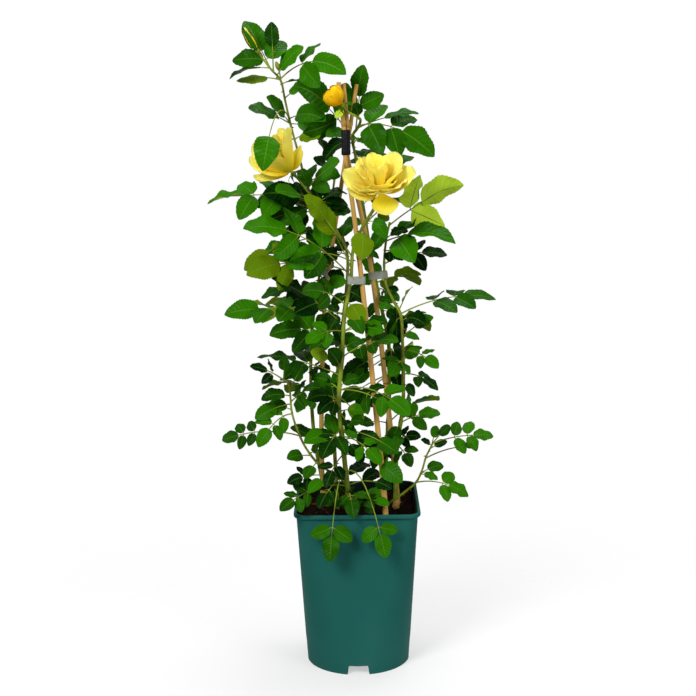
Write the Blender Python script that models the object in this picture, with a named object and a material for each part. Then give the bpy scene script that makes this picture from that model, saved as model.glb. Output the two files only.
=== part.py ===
"""A climbing rose in a deep nursery pot, tied to three bamboo canes.

The tables are in millimetres and the meshes in metres. X runs to the right, Y to the back and Z up,
and the origin is the middle of the pot's foot, on the ground.
"""

import math
import random
from dataclasses import dataclass

import bmesh
import bpy
import numpy as np

MM = 0.001
GAP = 0.3               # clearance between pieces that touch
FLAT = 0.01             # faces that meet at less than this angle are one face

# The pot: a round foot that turns into a square rim
POT_HEIGHT = 250.0
RIM_WIDTH = 185.0
RIM_CORNER = 20.0
RIM_BAND = 6.5          # height of the thicker band round the rim
RIM_STEP = 4.0          # how far that band stands out
FOOT_WIDTH = 156.0
FOOT_CORNER = 77.0
WALL = 2.2
FLOOR_UNDERSIDE = 14.0  # the floor is raised on the skirt
FLOOR_THICK = 2.4
NOTCH_WIDTH = 33.0
NOTCH_HEIGHT = 13.4
DRAIN_WIDTH = 13.0
DRAIN_RING = 44.0       # distance of the drain holes from the middle
CORNER_STEPS = 6
DRAIN_SIDES = 8

# The soil
SOIL_TOP = 235.0
SOIL_RELIEF = 2.5       # height of its crumbs
SOIL_RINGS = (0.7, 0.35)

# The canes
CANE_SIDES = 6
CANE_STEP = 110.0       # distance between the points that bend a cane
CANE_KNOTS = 4          # thickened rings along each cane
KNOT_RISE = 0.7
KNOT_HALF = 3.5

# The ties
TAPE_WALL = 0.8
TAPE_LOOSE = 1.3        # slack round what it holds
TAPE_SIDES = 12
TAPE_HEIGHT = 11.0
BAND_MIDDLE = 780.0     # height of the black band's middle
BAND_HEIGHT = 36.0
BAND_LOOSE = 0.8

# The plant
STEM_SIDES = 5
STEM_STEP = 38.0        # distance between the rings of a stem
STALK_HALF = 0.9        # half the width of a leaf's stalk
STALK_THICK = 1.5
BLADE_THICK = 0.8
BLADE_WIDE = 0.33       # half a leaflet's width for a length of 1
PAIR_SHRINK = 0.86      # a side leaflet's length beside the end one's
PAIR_ANGLE = 60.0
SMALL_BLADE = 40.0      # shorter leaflets than this have fewer points
THORN_LENGTH = 5.0
PETAL_THICK = 1.0
HEART_SIDES = 8
PETAL_CUP = 0.22        # rise of a petal's sides for a half width of 1
PETAL_ROWS = ((0.0, 0.2, 0.0), (0.5, 0.88, 0.0), (0.92, 0.8, 0.08))  # place, width, crown
SEPAL_LENGTH = 16.0


@dataclass(frozen=True)
class Frond:
    """A leaf of one, three or five leaflets."""

    at: float        # where it leaves its branch, as a share of the branch's length
    tip: tuple       # tip of the end leaflet
    leaflets: int
    blade: float     # length of the end leaflet
    lean: float      # degrees that its upper face leans from straight up to the front
    arch: float      # rise of its stalk over a straight line


@dataclass(frozen=True)
class Branch:
    """A stem with its leaves."""

    route: tuple     # points that it passes through, from the root
    thick: tuple     # its width at the root and at the end
    fronds: tuple = ()
    thorns: int = 0
    sepals: int = 0
    end: str = "plain"  # plain, calyx or bud


@dataclass(frozen=True)
class Bloom:
    """A flower: whorls of petals round a rolled heart."""

    branch: tuple    # the stem and the number of its branch that carries it
    whorls: tuple    # for each whorl: petals, length, opening in degrees, first turn in degrees
    long_side: float # how much longer the petals on the +X side are
    heart: tuple     # width and height of the rolled heart
    width: float     # half a petal's width for a length of 1


# For each cane its width at the bottom and at the top, and its route
CANES = {
    "cane_middle": ((8.8, 6.2), ((43, -70, 100), (42, -69, 236), (27, -52, 412), (10, -28, 580),
                                 (-2, -13, 687), (-12, -6, 757), (-14, -5, 798),
                                 (-21, -5, 865))),
    "cane_right": ((8.8, 6.2), ((68, 23, 100), (62, 21, 236), (39, 16, 473), (23, 11, 602),
                                (8, 8, 685), (-9, 2, 757), (-9, 1, 798), (-14, 4, 863))),
    "cane_left": ((8.0, 5.6), ((-50, 54, 100), (-53, 51, 236), (-53, 46, 370), (-48, 38, 499),
                               (-40, 31, 583), (-8, 19, 783), (5, 15, 862))),
}

PLANT = {
    "stem_front": (
        Branch(
            route=((-9, -46, 180), (-12, -47, 255), (-19, -47, 336), (-25, -46, 410),
                   (-19, -44, 478), (-16, -42, 530), (-6, -38, 587), (-2, -36, 630),
                   (13, -40, 664), (28, -52, 690), (27, -56, 703)),
            thick=(8.5, 4.0),
            end="calyx",
            thorns=4,
            sepals=4,
            fronds=(
                Frond(0.19, (-110, -115, 265), 5, 27, 55, 14),
                Frond(0.20, (-100, -95, 300), 3, 26, 50, 12),
                Frond(0.22, (-55, -105, 265), 3, 26, 60, 10),
                Frond(0.18, (-5, -105, 250), 3, 32, 70, 10),
                Frond(0.14, (25, -90, 260), 3, 25, 50, 12),
                Frond(0.23, (40, -120, 195), 3, 35, 80, 42),
                Frond(0.22, (-40, -120, 190), 3, 38, 80, 46),
                Frond(0.19, (50, -95, 290), 1, 29, 55, 10),
                Frond(0.28, (-45, -85, 290), 3, 28, 60, 8),
                Frond(0.32, (-75, -80, 355), 3, 43, 60, 8),
                Frond(0.35, (-50, -95, 335), 3, 37, 60, 6),
                Frond(0.28, (65, -95, 300), 1, 40, 60, 12),
                Frond(0.33, (35, -90, 325), 3, 32, 60, 10),
                Frond(0.34, (10, -80, 385), 3, 32, 55, 8),
                Frond(0.46, (75, -115, 400), 3, 39, 50, 18),
                Frond(0.43, (-70, -65, 415), 3, 36, 60, 8),
                Frond(0.50, (-145, -20, 470), 3, 59, 15, 8),
                Frond(0.52, (-40, -70, 490), 1, 37, 55, 3),
                Frond(0.55, (60, -105, 505), 5, 36, 30, 10),
                Frond(0.62, (-70, -80, 500), 3, 31, 50, 8),
                Frond(0.66, (10, -90, 515), 1, 39, 70, 8),
                Frond(0.69, (-75, -80, 575), 3, 37, 55, 10),
                Frond(0.77, (-155, -90, 665), 5, 64, 50, 26),
                Frond(0.81, (-105, -75, 620), 3, 51, 60, 12),
                Frond(0.91, (10, -80, 620), 1, 44, 65, 4),
            ),
        ),
    ),
    "stem_left": (
        Branch(
            route=((-28, -4, 180), (-30, -8, 256), (-33, -12, 358), (-28, -14, 434),
                   (-20, -14, 507), (-13, -12, 567), (-11, -12, 619), (-25, -16, 652),
                   (-55, -8, 692), (-70, 14, 722), (-81, 36, 762), (-91, 38, 800),
                   (-99, 26, 840), (-104, 10, 868), (-117, -2, 884), (-129, -6, 900),
                   (-136, -6, 911)),
            thick=(6.5, 2.6),
            end="calyx",
            thorns=3,
            fronds=(
                Frond(0.45, (-190, -30, 535), 5, 51, 16, 10),
                Frond(0.43, (-120, -45, 590), 3, 60, 25, 8),
                Frond(0.40, (-125, -35, 505), 5, 48, 45, 12),
                Frond(0.53, (-155, -50, 595), 3, 52, 60, 16),
                Frond(0.60, (-145, -5, 610), 3, 56, 45, 10),
                Frond(0.64, (-145, -15, 690), 5, 61, 50, 14),
                Frond(0.67, (-210, -30, 695), 5, 53, 35, 14),
                Frond(0.68, (-110, -70, 715), 1, 51, 35, 4),
                Frond(0.71, (-20, -45, 755), 1, 47, 35, 4),
                Frond(0.85, (-125, -105, 745), 1, 58, 70, 40),
                Frond(0.84, (-150, -10, 830), 1, 55, 35, 4),
                Frond(0.84, (-125, 5, 845), 1, 44, 35, 2),
                Frond(0.84, (-45, 50, 785), 1, 51, 40, 6),
                Frond(0.92, (-65, 0, 865), 1, 36, 40, 4),
                Frond(0.89, (-55, 30, 860), 1, 44, 30, 6),
                Frond(0.93, (-10, -20, 875), 3, 55, 50, 22),
                Frond(0.94, (-70, 0, 915), 1, 55, 35, 4),
                Frond(0.95, (-115, 0, 950), 1, 35, 50, 2),
                Frond(0.96, (-175, -20, 870), 1, 49, 14, 6),
                Frond(0.96, (-150, 30, 955), 3, 55, 50, 3),
            ),
        ),
        Branch(
            route=((-50, -10, 687), (-66, -13, 709), (-79, -15, 727), (-88, -17, 738)),
            thick=(3.0, 3.0),
            end="calyx",
            sepals=5,
        ),
        Branch(
            route=((-103, 14, 862), (-106, 8, 882), (-110, 4, 895)),
            thick=(2.0, 2.0),
            end="bud",
        ),
    ),
    "stem_right": (
        Branch(
            route=((57, -12, 180), (58, -12, 254), (60, -12, 326), (69, -12, 392),
                   (70, -12, 440), (69, -10, 489), (67, -4, 527), (54, 4, 553), (45, 8, 575),
                   (43, 6, 606), (46, 0, 639), (51, -8, 665)),
            thick=(8.0, 3.0),
            thorns=4,
            fronds=(
                Frond(0.70, (40, 20, 485), 3, 39, 35, 6),
                Frond(0.74, (35, 0, 550), 1, 35, 45, 4),
                Frond(0.71, (210, 30, 545), 5, 51, 12, 14),
                Frond(0.69, (100, -40, 520), 1, 39, 45, 6),
                Frond(0.72, (85, 0, 570), 1, 29, 10, 3),
                Frond(0.60, (120, -40, 455), 3, 26, 50, 8),
                Frond(0.53, (120, -30, 420), 5, 29, 15, 8),
                Frond(0.57, (50, -50, 445), 3, 32, 50, 6),
                Frond(0.38, (125, -10, 380), 3, 33, 45, 6),
                Frond(0.35, (60, -50, 340), 3, 25, 55, 5),
                Frond(0.31, (80, -50, 310), 3, 26, 55, 5),
                Frond(0.87, (135, 0, 615), 3, 38, 40, 10),
                Frond(0.94, (145, -30, 635), 3, 74, 30, 12),
                Frond(0.99, (160, 30, 715), 3, 67, -55, 8),
            ),
        ),
    ),
    "stem_back": (
        Branch(
            route=((40, 45, 180), (42, 44, 248), (48, 42, 344), (50, 40, 391), (50, 40, 476),
                   (40, 42, 529), (28, 44, 589), (14, 42, 679), (3, 38, 753), (-2, 34, 786),
                   (6, 24, 800), (10, 6, 811), (4, -12, 817), (-8, -17, 823), (-17, -19, 833)),
            thick=(8.0, 3.4),
            end="calyx",
            thorns=4,
            sepals=5,
            fronds=(
                Frond(0.87, (-85, -15, 860), 3, 68, 60, 14),
                Frond(0.86, (-45, 35, 750), 1, 56, 30, 12),
                Frond(0.91, (115, 0, 760), 5, 60, 45, 18),
                Frond(0.89, (15, 30, 890), 3, 46, 35, 4),
                Frond(0.94, (0, -25, 835), 1, 32, 60, 3),
                Frond(0.86, (15, 60, 780), 3, 39, 20, 6),
                Frond(0.75, (90, 70, 755), 3, 42, 15, 10),
                Frond(0.69, (90, 110, 680), 3, 52, -35, 14),
                Frond(0.56, (100, 120, 555), 3, 53, -35, 12),
                Frond(0.47, (115, 105, 485), 3, 53, -40, 12),
                Frond(0.37, (85, 120, 455), 3, 50, -35, 12),
                Frond(0.25, (130, 105, 375), 3, 47, -35, 12),
                Frond(0.79, (25, 120, 765), 3, 46, -30, 10),
            ),
        ),
    ),
    "stem_back_left": (
        Branch(
            route=((-44, 74, 180), (-50, 70, 236), (-66, 62, 340), (-68, 56, 466),
                   (-57, 50, 559), (-46, 48, 620), (-36, 50, 679), (-27, 50, 738)),
            thick=(7.0, 3.0),
            thorns=3,
            fronds=(
                Frond(0.68, (-140, 30, 550), 5, 45, 25, 8),
                Frond(0.91, (-105, 100, 685), 5, 55, -30, 12),
                Frond(0.76, (-85, 120, 595), 3, 56, -40, 10),
                Frond(0.63, (-145, 105, 500), 3, 53, -35, 12),
                Frond(0.49, (-45, 120, 470), 3, 53, -35, 10),
                Frond(0.40, (-145, 80, 400), 3, 50, -30, 12),
                Frond(0.25, (-95, 120, 325), 3, 51, -35, 10),
                Frond(0.97, (-55, 75, 790), 3, 51, -10, 6),
            ),
        ),
    ),
    "shoot_left": (
        Branch(
            route=((-14, -20, 190), (-16, -25, 250), (-20, -32, 284), (-42, -46, 305),
                   (-56, -55, 318), (-68, -62, 335), (-80, -66, 358), (-92, -70, 396),
                   (-96, -70, 438), (-106, -70, 448)),
            thick=(5.0, 2.4),
            fronds=(
                Frond(0.99, (-100, -95, 485), 1, 28, 60, 1),
                Frond(1.00, (-150, -90, 470), 3, 28, 45, 4),
                Frond(0.92, (-75, -95, 470), 1, 31, 45, 4),
                Frond(0.90, (-135, -85, 420), 1, 37, 40, 4),
                Frond(0.87, (-50, -100, 440), 3, 37, 35, 6),
                Frond(0.83, (-130, -60, 405), 1, 32, 45, 3),
                Frond(0.81, (-140, -100, 355), 5, 31, 60, 12),
                Frond(0.69, (-195, -60, 355), 5, 26, 50, 10),
                Frond(0.57, (-100, -90, 335), 1, 29, 60, 2),
                Frond(0.52, (-75, -90, 305), 1, 29, 60, 2),
            ),
        ),
    ),
    "shoot_right": (
        Branch(
            route=((38, -28, 190), (42, -32, 240), (52, -33, 254), (64, -32, 262),
                   (76, -30, 271), (88, -28, 281), (97, -24, 298), (103, -22, 318),
                   (114, -20, 340)),
            thick=(4.6, 2.4),
            fronds=(
                Frond(0.99, (205, 0, 345), 5, 32, 50, 6),
                Frond(0.85, (180, 10, 325), 1, 21, 45, 6),
                Frond(0.63, (165, -35, 260), 3, 34, 40, 10),
                Frond(0.71, (130, -10, 300), 1, 27, 45, 4),
                Frond(0.97, (120, 0, 360), 1, 21, 40, 2),
            ),
        ),
    ),
}

BLOOMS = {
    "bloom_right": Bloom(branch=("stem_front", 0),
                         whorls=((4, 46, 30, 20), (5, 54, 66, 40), (1, 36, 104, 262)),
                         long_side=0.22, heart=(24, 38), width=0.5),
    "bloom_left": Bloom(branch=("stem_left", 1),
                        whorls=((4, 62, 32, 25), (5, 54, 62, 36)),
                        long_side=0.0, heart=(24, 42), width=0.5),
    "bud_orange": Bloom(branch=("stem_back", 0),
                        whorls=((3, 30, 12, 30),),
                        long_side=0.0, heart=(20, 26), width=0.42),
    "bud_small": Bloom(branch=("stem_left", 0),
                       whorls=(), long_side=0.0, heart=(9, 30), width=0.4),
}

# For each tie what it holds, and its height
TIES = {
    "tie_right": ("cane_right", "stem_right", 586.0),
    "tie_middle": ("cane_middle", "stem_front", 584.0),
    "tie_left": ("cane_left", "stem_back_left", 588.0),
}

COLOURS = {
    "pot": (0.018, 0.105, 0.085, 0.42),
    "soil": (0.018, 0.012, 0.008, 0.95),
    "cane": (0.42, 0.24, 0.09, 0.6),
    "tie": (0.55, 0.57, 0.52, 0.5),
    "band": (0.01, 0.01, 0.012, 0.45),
    "leaf": (0.05, 0.16, 0.02, 0.45),
    "yellow": (0.95, 0.66, 0.04, 0.55),
    "orange": (0.9, 0.42, 0.04, 0.55),
}


def clear_scene():
    """Take away what a new file starts with."""
    for item in list(bpy.data.objects):
        bpy.data.objects.remove(item, do_unlink=True)


def finish(name):
    """The material of a kind of piece, made once."""
    found = bpy.data.materials.get(name)
    if found:
        return found
    red, green, blue, roughness = COLOURS[name]
    made = bpy.data.materials.new(name)
    made.use_nodes = True
    shader = made.node_tree.nodes["Principled BSDF"]
    shader.inputs["Base Color"].default_value = (red, green, blue, 1.0)
    shader.inputs["Roughness"].default_value = roughness
    shader.inputs["Metallic"].default_value = 0.0
    return made


def add_object(name, points, faces, colour):
    """A closed mesh object from points in millimetres, with its faces turned outwards."""
    mesh = bpy.data.meshes.new(name)
    mesh.from_pydata([tuple(point) for point in np.asarray(points) * MM], [], faces)
    work = bmesh.new()
    work.from_mesh(mesh)
    bmesh.ops.recalc_face_normals(work, faces=work.faces)
    bmesh.ops.triangulate(work, faces=work.faces)
    work.to_mesh(mesh)
    work.free()
    mesh.materials.append(finish(colour))
    made = bpy.data.objects.new(name, mesh)
    bpy.context.scene.collection.objects.link(made)
    return made


def boolean(target, tools, operation, solver="EXACT"):
    """Union the target with loose tools, or cut them out of it, and remove the tools."""
    box = bpy.data.collections.new("tools")
    bpy.context.scene.collection.children.link(box)
    for tool in tools:
        bpy.context.scene.collection.objects.unlink(tool)
        box.objects.link(tool)
    step = target.modifiers.new("join", "BOOLEAN")
    step.operation = operation
    step.operand_type = "COLLECTION"
    step.collection = box
    step.solver = solver
    graph = bpy.context.evaluated_depsgraph_get()
    result = bpy.data.meshes.new_from_object(target.evaluated_get(graph))
    target.modifiers.clear()
    colour = target.data.materials[0]
    target.data = result
    result.materials.clear()
    result.materials.append(colour)
    for tool in tools:
        bpy.data.objects.remove(tool, do_unlink=True)
    bpy.data.collections.remove(box)
    tidy(target)


def tidy(target):
    """Weld stray doubles, drop loose scraps and triangulate."""
    work = bmesh.new()
    work.from_mesh(target.data)
    bmesh.ops.remove_doubles(work, verts=work.verts, dist=0.00002)
    bmesh.ops.dissolve_limit(work, angle_limit=FLAT, verts=work.verts, edges=work.edges)
    bmesh.ops.triangulate(work, faces=work.faces)
    islands = []
    left = set(work.verts)
    while left:
        seed = left.pop()
        island = {seed}
        edge_of_island = [seed]
        while edge_of_island:
            vert = edge_of_island.pop()
            for link in vert.link_edges:
                other = link.other_vert(vert)
                if other in left:
                    left.remove(other)
                    island.add(other)
                    edge_of_island.append(other)
        islands.append(island)
    islands.sort(key=len)
    scraps = [vert for island in islands[:-1] for vert in island]
    bmesh.ops.delete(work, geom=scraps, context="VERTS")
    bmesh.ops.recalc_face_normals(work, faces=work.faces)
    work.to_mesh(target.data)
    work.free()


def unit(vector):
    """The vector at length 1."""
    vector = np.asarray(vector, float)
    return vector / np.linalg.norm(vector)


def smooth(route, step):
    """A curve through the route's points (Catmull-Rom), read about every step millimetres."""
    points = np.asarray(route, float)
    ends = np.vstack([2 * points[0] - points[1], points, 2 * points[-1] - points[-2]])
    curve = []
    for index in range(len(points) - 1):
        before, start, stop, after = ends[index:index + 4]
        span = np.linalg.norm(stop - start)
        count = max(1, round(span / step))
        for share in np.arange(count) / count:
            curve.append(0.5 * (2 * start + (stop - before) * share
                                + (2 * before - 5 * start + 4 * stop - after) * share ** 2
                                + (3 * start - before - 3 * stop + after) * share ** 3))
    curve.append(points[-1])
    return np.array(curve)


def lengths(path):
    """The distance along a path at each of its points."""
    return np.concatenate([[0.0], np.cumsum(np.linalg.norm(np.diff(path, axis=0), axis=1))])


def point_at(path, share):
    """The point at a share of a path's length."""
    along = lengths(path)
    return np.array([np.interp(share * along[-1], along, path[:, axis]) for axis in range(3)])


def point_at_height(path, height):
    """The point of a rising path at a height."""
    return np.array([np.interp(height, path[:, 2], path[:, axis]) for axis in range(3)])


def directions(path):
    """The unit direction of a path at each of its points."""
    steps = np.gradient(path, axis=0)
    return steps / np.linalg.norm(steps, axis=1)[:, None]


def loft(rings):
    """Faces of a tube whose rings have the same number of points, closed at both ends."""
    count = len(rings[0])
    points = np.vstack(rings)
    faces = []
    for ring in range(len(rings) - 1):
        for side in range(count):
            near = ring * count + side
            far = ring * count + (side + 1) % count
            faces.append((near, far, far + count, near + count))
    faces.append(tuple(range(count))[::-1])
    faces.append(tuple(range(len(points) - count, len(points))))
    return points, faces


def tube(path, radii, sides):
    """A round tube along a path with a radius at each of its points."""
    rings = []
    for point, ahead, radius in zip(path, directions(path), radii):
        across = unit(np.cross(ahead, (0.0, 1.0, 0.1)))
        beside = np.cross(ahead, across)
        turn = np.arange(sides) * 2 * math.pi / sides
        ring = point + radius * (np.outer(np.cos(turn), across) + np.outer(np.sin(turn), beside))
        rings.append(ring)
    return loft(rings)


def rounded_square(half, corner, height):
    """A ring of points round a square of half width half, with its corners rounded."""
    middle = half - corner
    ring = []
    for quarter in range(4):
        sign_x = (1, -1, -1, 1)[quarter]
        sign_y = (1, 1, -1, -1)[quarter]
        for step in range(CORNER_STEPS + 1):
            turn = math.radians(90 * quarter + 90 * step / CORNER_STEPS)
            ring.append((sign_x * middle + corner * math.cos(turn),
                         sign_y * middle + corner * math.sin(turn), height))
    return np.array(ring)


def pot_wall(height, inset):
    """The ring of the pot's outer wall at a height, moved inwards by the inset."""
    share = height / (POT_HEIGHT - RIM_BAND)
    half = FOOT_WIDTH / 2 + share * (RIM_WIDTH / 2 - RIM_STEP - FOOT_WIDTH / 2)
    corner = FOOT_CORNER + share * (RIM_CORNER - RIM_STEP - FOOT_CORNER)
    return rounded_square(half - inset, corner - inset, height)


def make_pot():
    """The pot: skirt with four notches, raised floor with drain holes, wall and rim band."""
    rim_half = RIM_WIDTH / 2
    floor_top = FLOOR_UNDERSIDE + FLOOR_THICK
    rings = [
        pot_wall(FLOOR_UNDERSIDE, WALL),
        pot_wall(0.0, WALL),
        pot_wall(0.0, 0.0),
        pot_wall(POT_HEIGHT - RIM_BAND, 0.0),
        rounded_square(rim_half, RIM_CORNER, POT_HEIGHT - RIM_BAND + 1.0),
        rounded_square(rim_half, RIM_CORNER, POT_HEIGHT - 1.2),
        rounded_square(rim_half - 1.2, RIM_CORNER - 1.2, POT_HEIGHT),
        rounded_square(rim_half - RIM_STEP, RIM_CORNER - RIM_STEP, POT_HEIGHT),
        pot_wall(POT_HEIGHT - RIM_BAND, WALL),
        pot_wall(floor_top, WALL),
    ]
    pot = add_object("pot", *loft(rings), "pot")
    cutters = []
    for number, turn in enumerate((0.0, math.pi / 2)):
        low = NOTCH_WIDTH / 2
        high = low - 2.0
        profile = ((-low, -5.0), (low, -5.0), (high, NOTCH_HEIGHT), (-high, NOTCH_HEIGHT))
        reach = FOOT_WIDTH
        ends = [np.array([(side, end, height) for side, height in profile])
                for end in (-reach, reach)]
        turned = [np.column_stack([ring[:, 0] * math.cos(turn) - ring[:, 1] * math.sin(turn),
                                   ring[:, 0] * math.sin(turn) + ring[:, 1] * math.cos(turn),
                                   ring[:, 2]]) for ring in ends]
        cutters.append(add_object(f"notch_{number}", *loft(turned), "pot"))
    for number in range(4):
        turn = math.radians(45 + 90 * number)
        middle = np.array((DRAIN_RING * math.cos(turn), DRAIN_RING * math.sin(turn), 0.0))
        path = middle + np.array(((0, 0, FLOOR_UNDERSIDE - 3), (0, 0, floor_top + 3)))
        cutters.append(add_object(f"drain_{number}", *tube(path, (DRAIN_WIDTH / 2,) * 2,
                                                          DRAIN_SIDES), "pot"))
    boolean(pot, cutters, "DIFFERENCE")


def make_soil(stems):
    """The soil: it fills the pot, with a crumbly top and a hole for each cane and stem."""
    dice = random.Random(7)
    base = FLOOR_UNDERSIDE + FLOOR_THICK + GAP
    rings = [pot_wall(base, WALL + GAP), pot_wall(SOIL_TOP, WALL + GAP)]
    for share in SOIL_RINGS:
        ring = pot_wall(SOIL_TOP, WALL + GAP) * (share, share, 1.0)
        ring[:, 2] += [dice.uniform(-1.0, 1.0) * SOIL_RELIEF for _ in ring]
        rings.append(ring)
    soil = add_object("soil", *loft(rings), "soil")
    holes = []
    for number, (path, radii, sides) in enumerate(stems):
        deeper = np.vstack([path[0] - directions(path)[0] * GAP, path[1:]])
        holes.append(add_object(f"hole_{number}", *tube(deeper, radii + GAP, sides), "soil"))
    boolean(soil, holes, "DIFFERENCE")


def cane_shape(widths, route):
    """The path of a cane and its radius there, with a thickened ring at each knot."""
    path = smooth(route, CANE_STEP)
    along = lengths(path)
    knots = along[-1] * (np.arange(CANE_KNOTS) + 0.7) / CANE_KNOTS
    far = abs(along[:, None] - knots).min(axis=1) > 3.0 * KNOT_HALF
    marks = np.sort(np.concatenate([along[far], knots - KNOT_HALF, knots, knots + KNOT_HALF]))
    points = np.column_stack([np.interp(marks, along, path[:, axis]) for axis in range(3)])
    radii = np.interp(marks, (0.0, along[-1]), widths) / 2
    radii[np.isin(marks, knots)] += KNOT_RISE
    return points, radii


def make_canes():
    """The three canes. Gives back their shapes."""
    shapes = {}
    for name, (widths, route) in CANES.items():
        points, radii = cane_shape(widths, route)
        add_object(name, *tube(points, radii, CANE_SIDES), "cane")
        shapes[name] = (points, radii)
    return shapes


def loop_round(first, second, height, loose):
    """A loop of tape pulled round two rods, each given as a path and its radii."""
    centres = [point_at_height(path, height) for path, _ in (first, second)]
    reach = [np.interp(height, path[:, 2], radii) + loose for path, radii in (first, second)]
    rise = [unit(point_at_height(path, height + 15) - point_at_height(path, height - 15))
            for path, _ in (first, second)]
    axis = unit(rise[0] + rise[1])
    across = centres[1] - centres[0]
    across = unit(across - axis * (across @ axis))
    beside = np.cross(axis, across)
    flat = [np.array((centre @ across, centre @ beside)) for centre in centres]
    ground = (centres[0] + centres[1]) @ axis / 2
    turn = (np.arange(TAPE_SIDES) + 0.5) * 2 * math.pi / TAPE_SIDES
    spokes = np.column_stack([np.cos(turn), np.sin(turn)])
    outlines = []
    for wall in (0.0, TAPE_WALL):
        outlines.append(np.array([flat[0 if spoke[0] < 0 else 1]
                                  + spoke * (reach[0 if spoke[0] < 0 else 1] + wall)
                                  for spoke in spokes]))
    return outlines, axis, across, beside, ground


def make_loop(name, first, second, height, tall, loose, colour):
    """A closed band of tape round two rods."""
    (inner, outer), axis, across, beside, ground = loop_round(first, second, height, loose)
    rings = []
    for outline, side in ((inner, -0.5), (inner, 0.5), (outer, 0.5), (outer, -0.5)):
        rings.append(np.outer(outline[:, 0], across) + np.outer(outline[:, 1], beside)
                     + axis * (ground + side * tall))
    points = np.vstack(rings)
    count = len(inner)
    faces = []
    for ring in range(4):
        for side in range(count):
            after = (side + 1) % count
            following = (ring + 1) % 4
            faces.append((ring * count + side, ring * count + after,
                          following * count + after, following * count + side))
    add_object(name, points, faces, colour)


def half_width(share):
    """Half the width of a leaflet along its length, 1 at its widest."""
    return math.sin(math.pi * share ** 0.86) ** 0.8


class Sheet:
    """A thin closed solid that grows from pairs of points, one on its top and one below."""

    def __init__(self):
        self.points = []
        self.faces = []

    def pair(self, middle, normal, thick):
        """Add a point on the top and one below it; gives back the pair's number."""
        self.points.append(middle + normal * thick / 2)
        self.points.append(middle - normal * thick / 2)
        return len(self.points) // 2 - 1

    def panel(self, *pairs):
        """Cover three or four pairs on the top and, split alike, below."""
        for index in range(1, len(pairs) - 1):
            corner = (pairs[0], pairs[index], pairs[index + 1])
            self.faces.append(tuple(2 * pair for pair in corner))
            self.faces.append(tuple(2 * pair + 1 for pair in reversed(corner)))

    def rim(self, pairs):
        """Close the edge along a chain of pairs."""
        for start, stop in zip(pairs, pairs[1:]):
            self.faces.append((2 * start, 2 * stop, 2 * stop + 1))
            self.faces.append((2 * start, 2 * stop + 1, 2 * start + 1))


def leaflet_rows(length):
    """The shares of a leaflet's length where its outline has points."""
    if length < SMALL_BLADE:
        return (0.3, 0.68)
    return (0.2, 0.48, 0.78)


def grow_leaflet(sheet, root, middle, across, normal, length, wave):
    """A leaflet from the pair of pairs at its root; middle gives its centre line."""
    left, right = [root[0]], [root[1]]
    for number, share in enumerate(leaflet_rows(length)):
        half = BLADE_WIDE * length * half_width(share)
        lift = normal * wave * length * (1 if number % 2 else -1)
        left.append(sheet.pair(middle(share) - across * half + lift, normal, BLADE_THICK))
        right.append(sheet.pair(middle(share) + across * half - lift, normal, BLADE_THICK))
        sheet.panel(left[-2], left[-1], right[-1], right[-2])
    tip = sheet.pair(middle(1.0), normal, BLADE_THICK)
    sheet.panel(left[-1], tip, right[-1])
    sheet.rim(left + [tip] + right[::-1])


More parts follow.
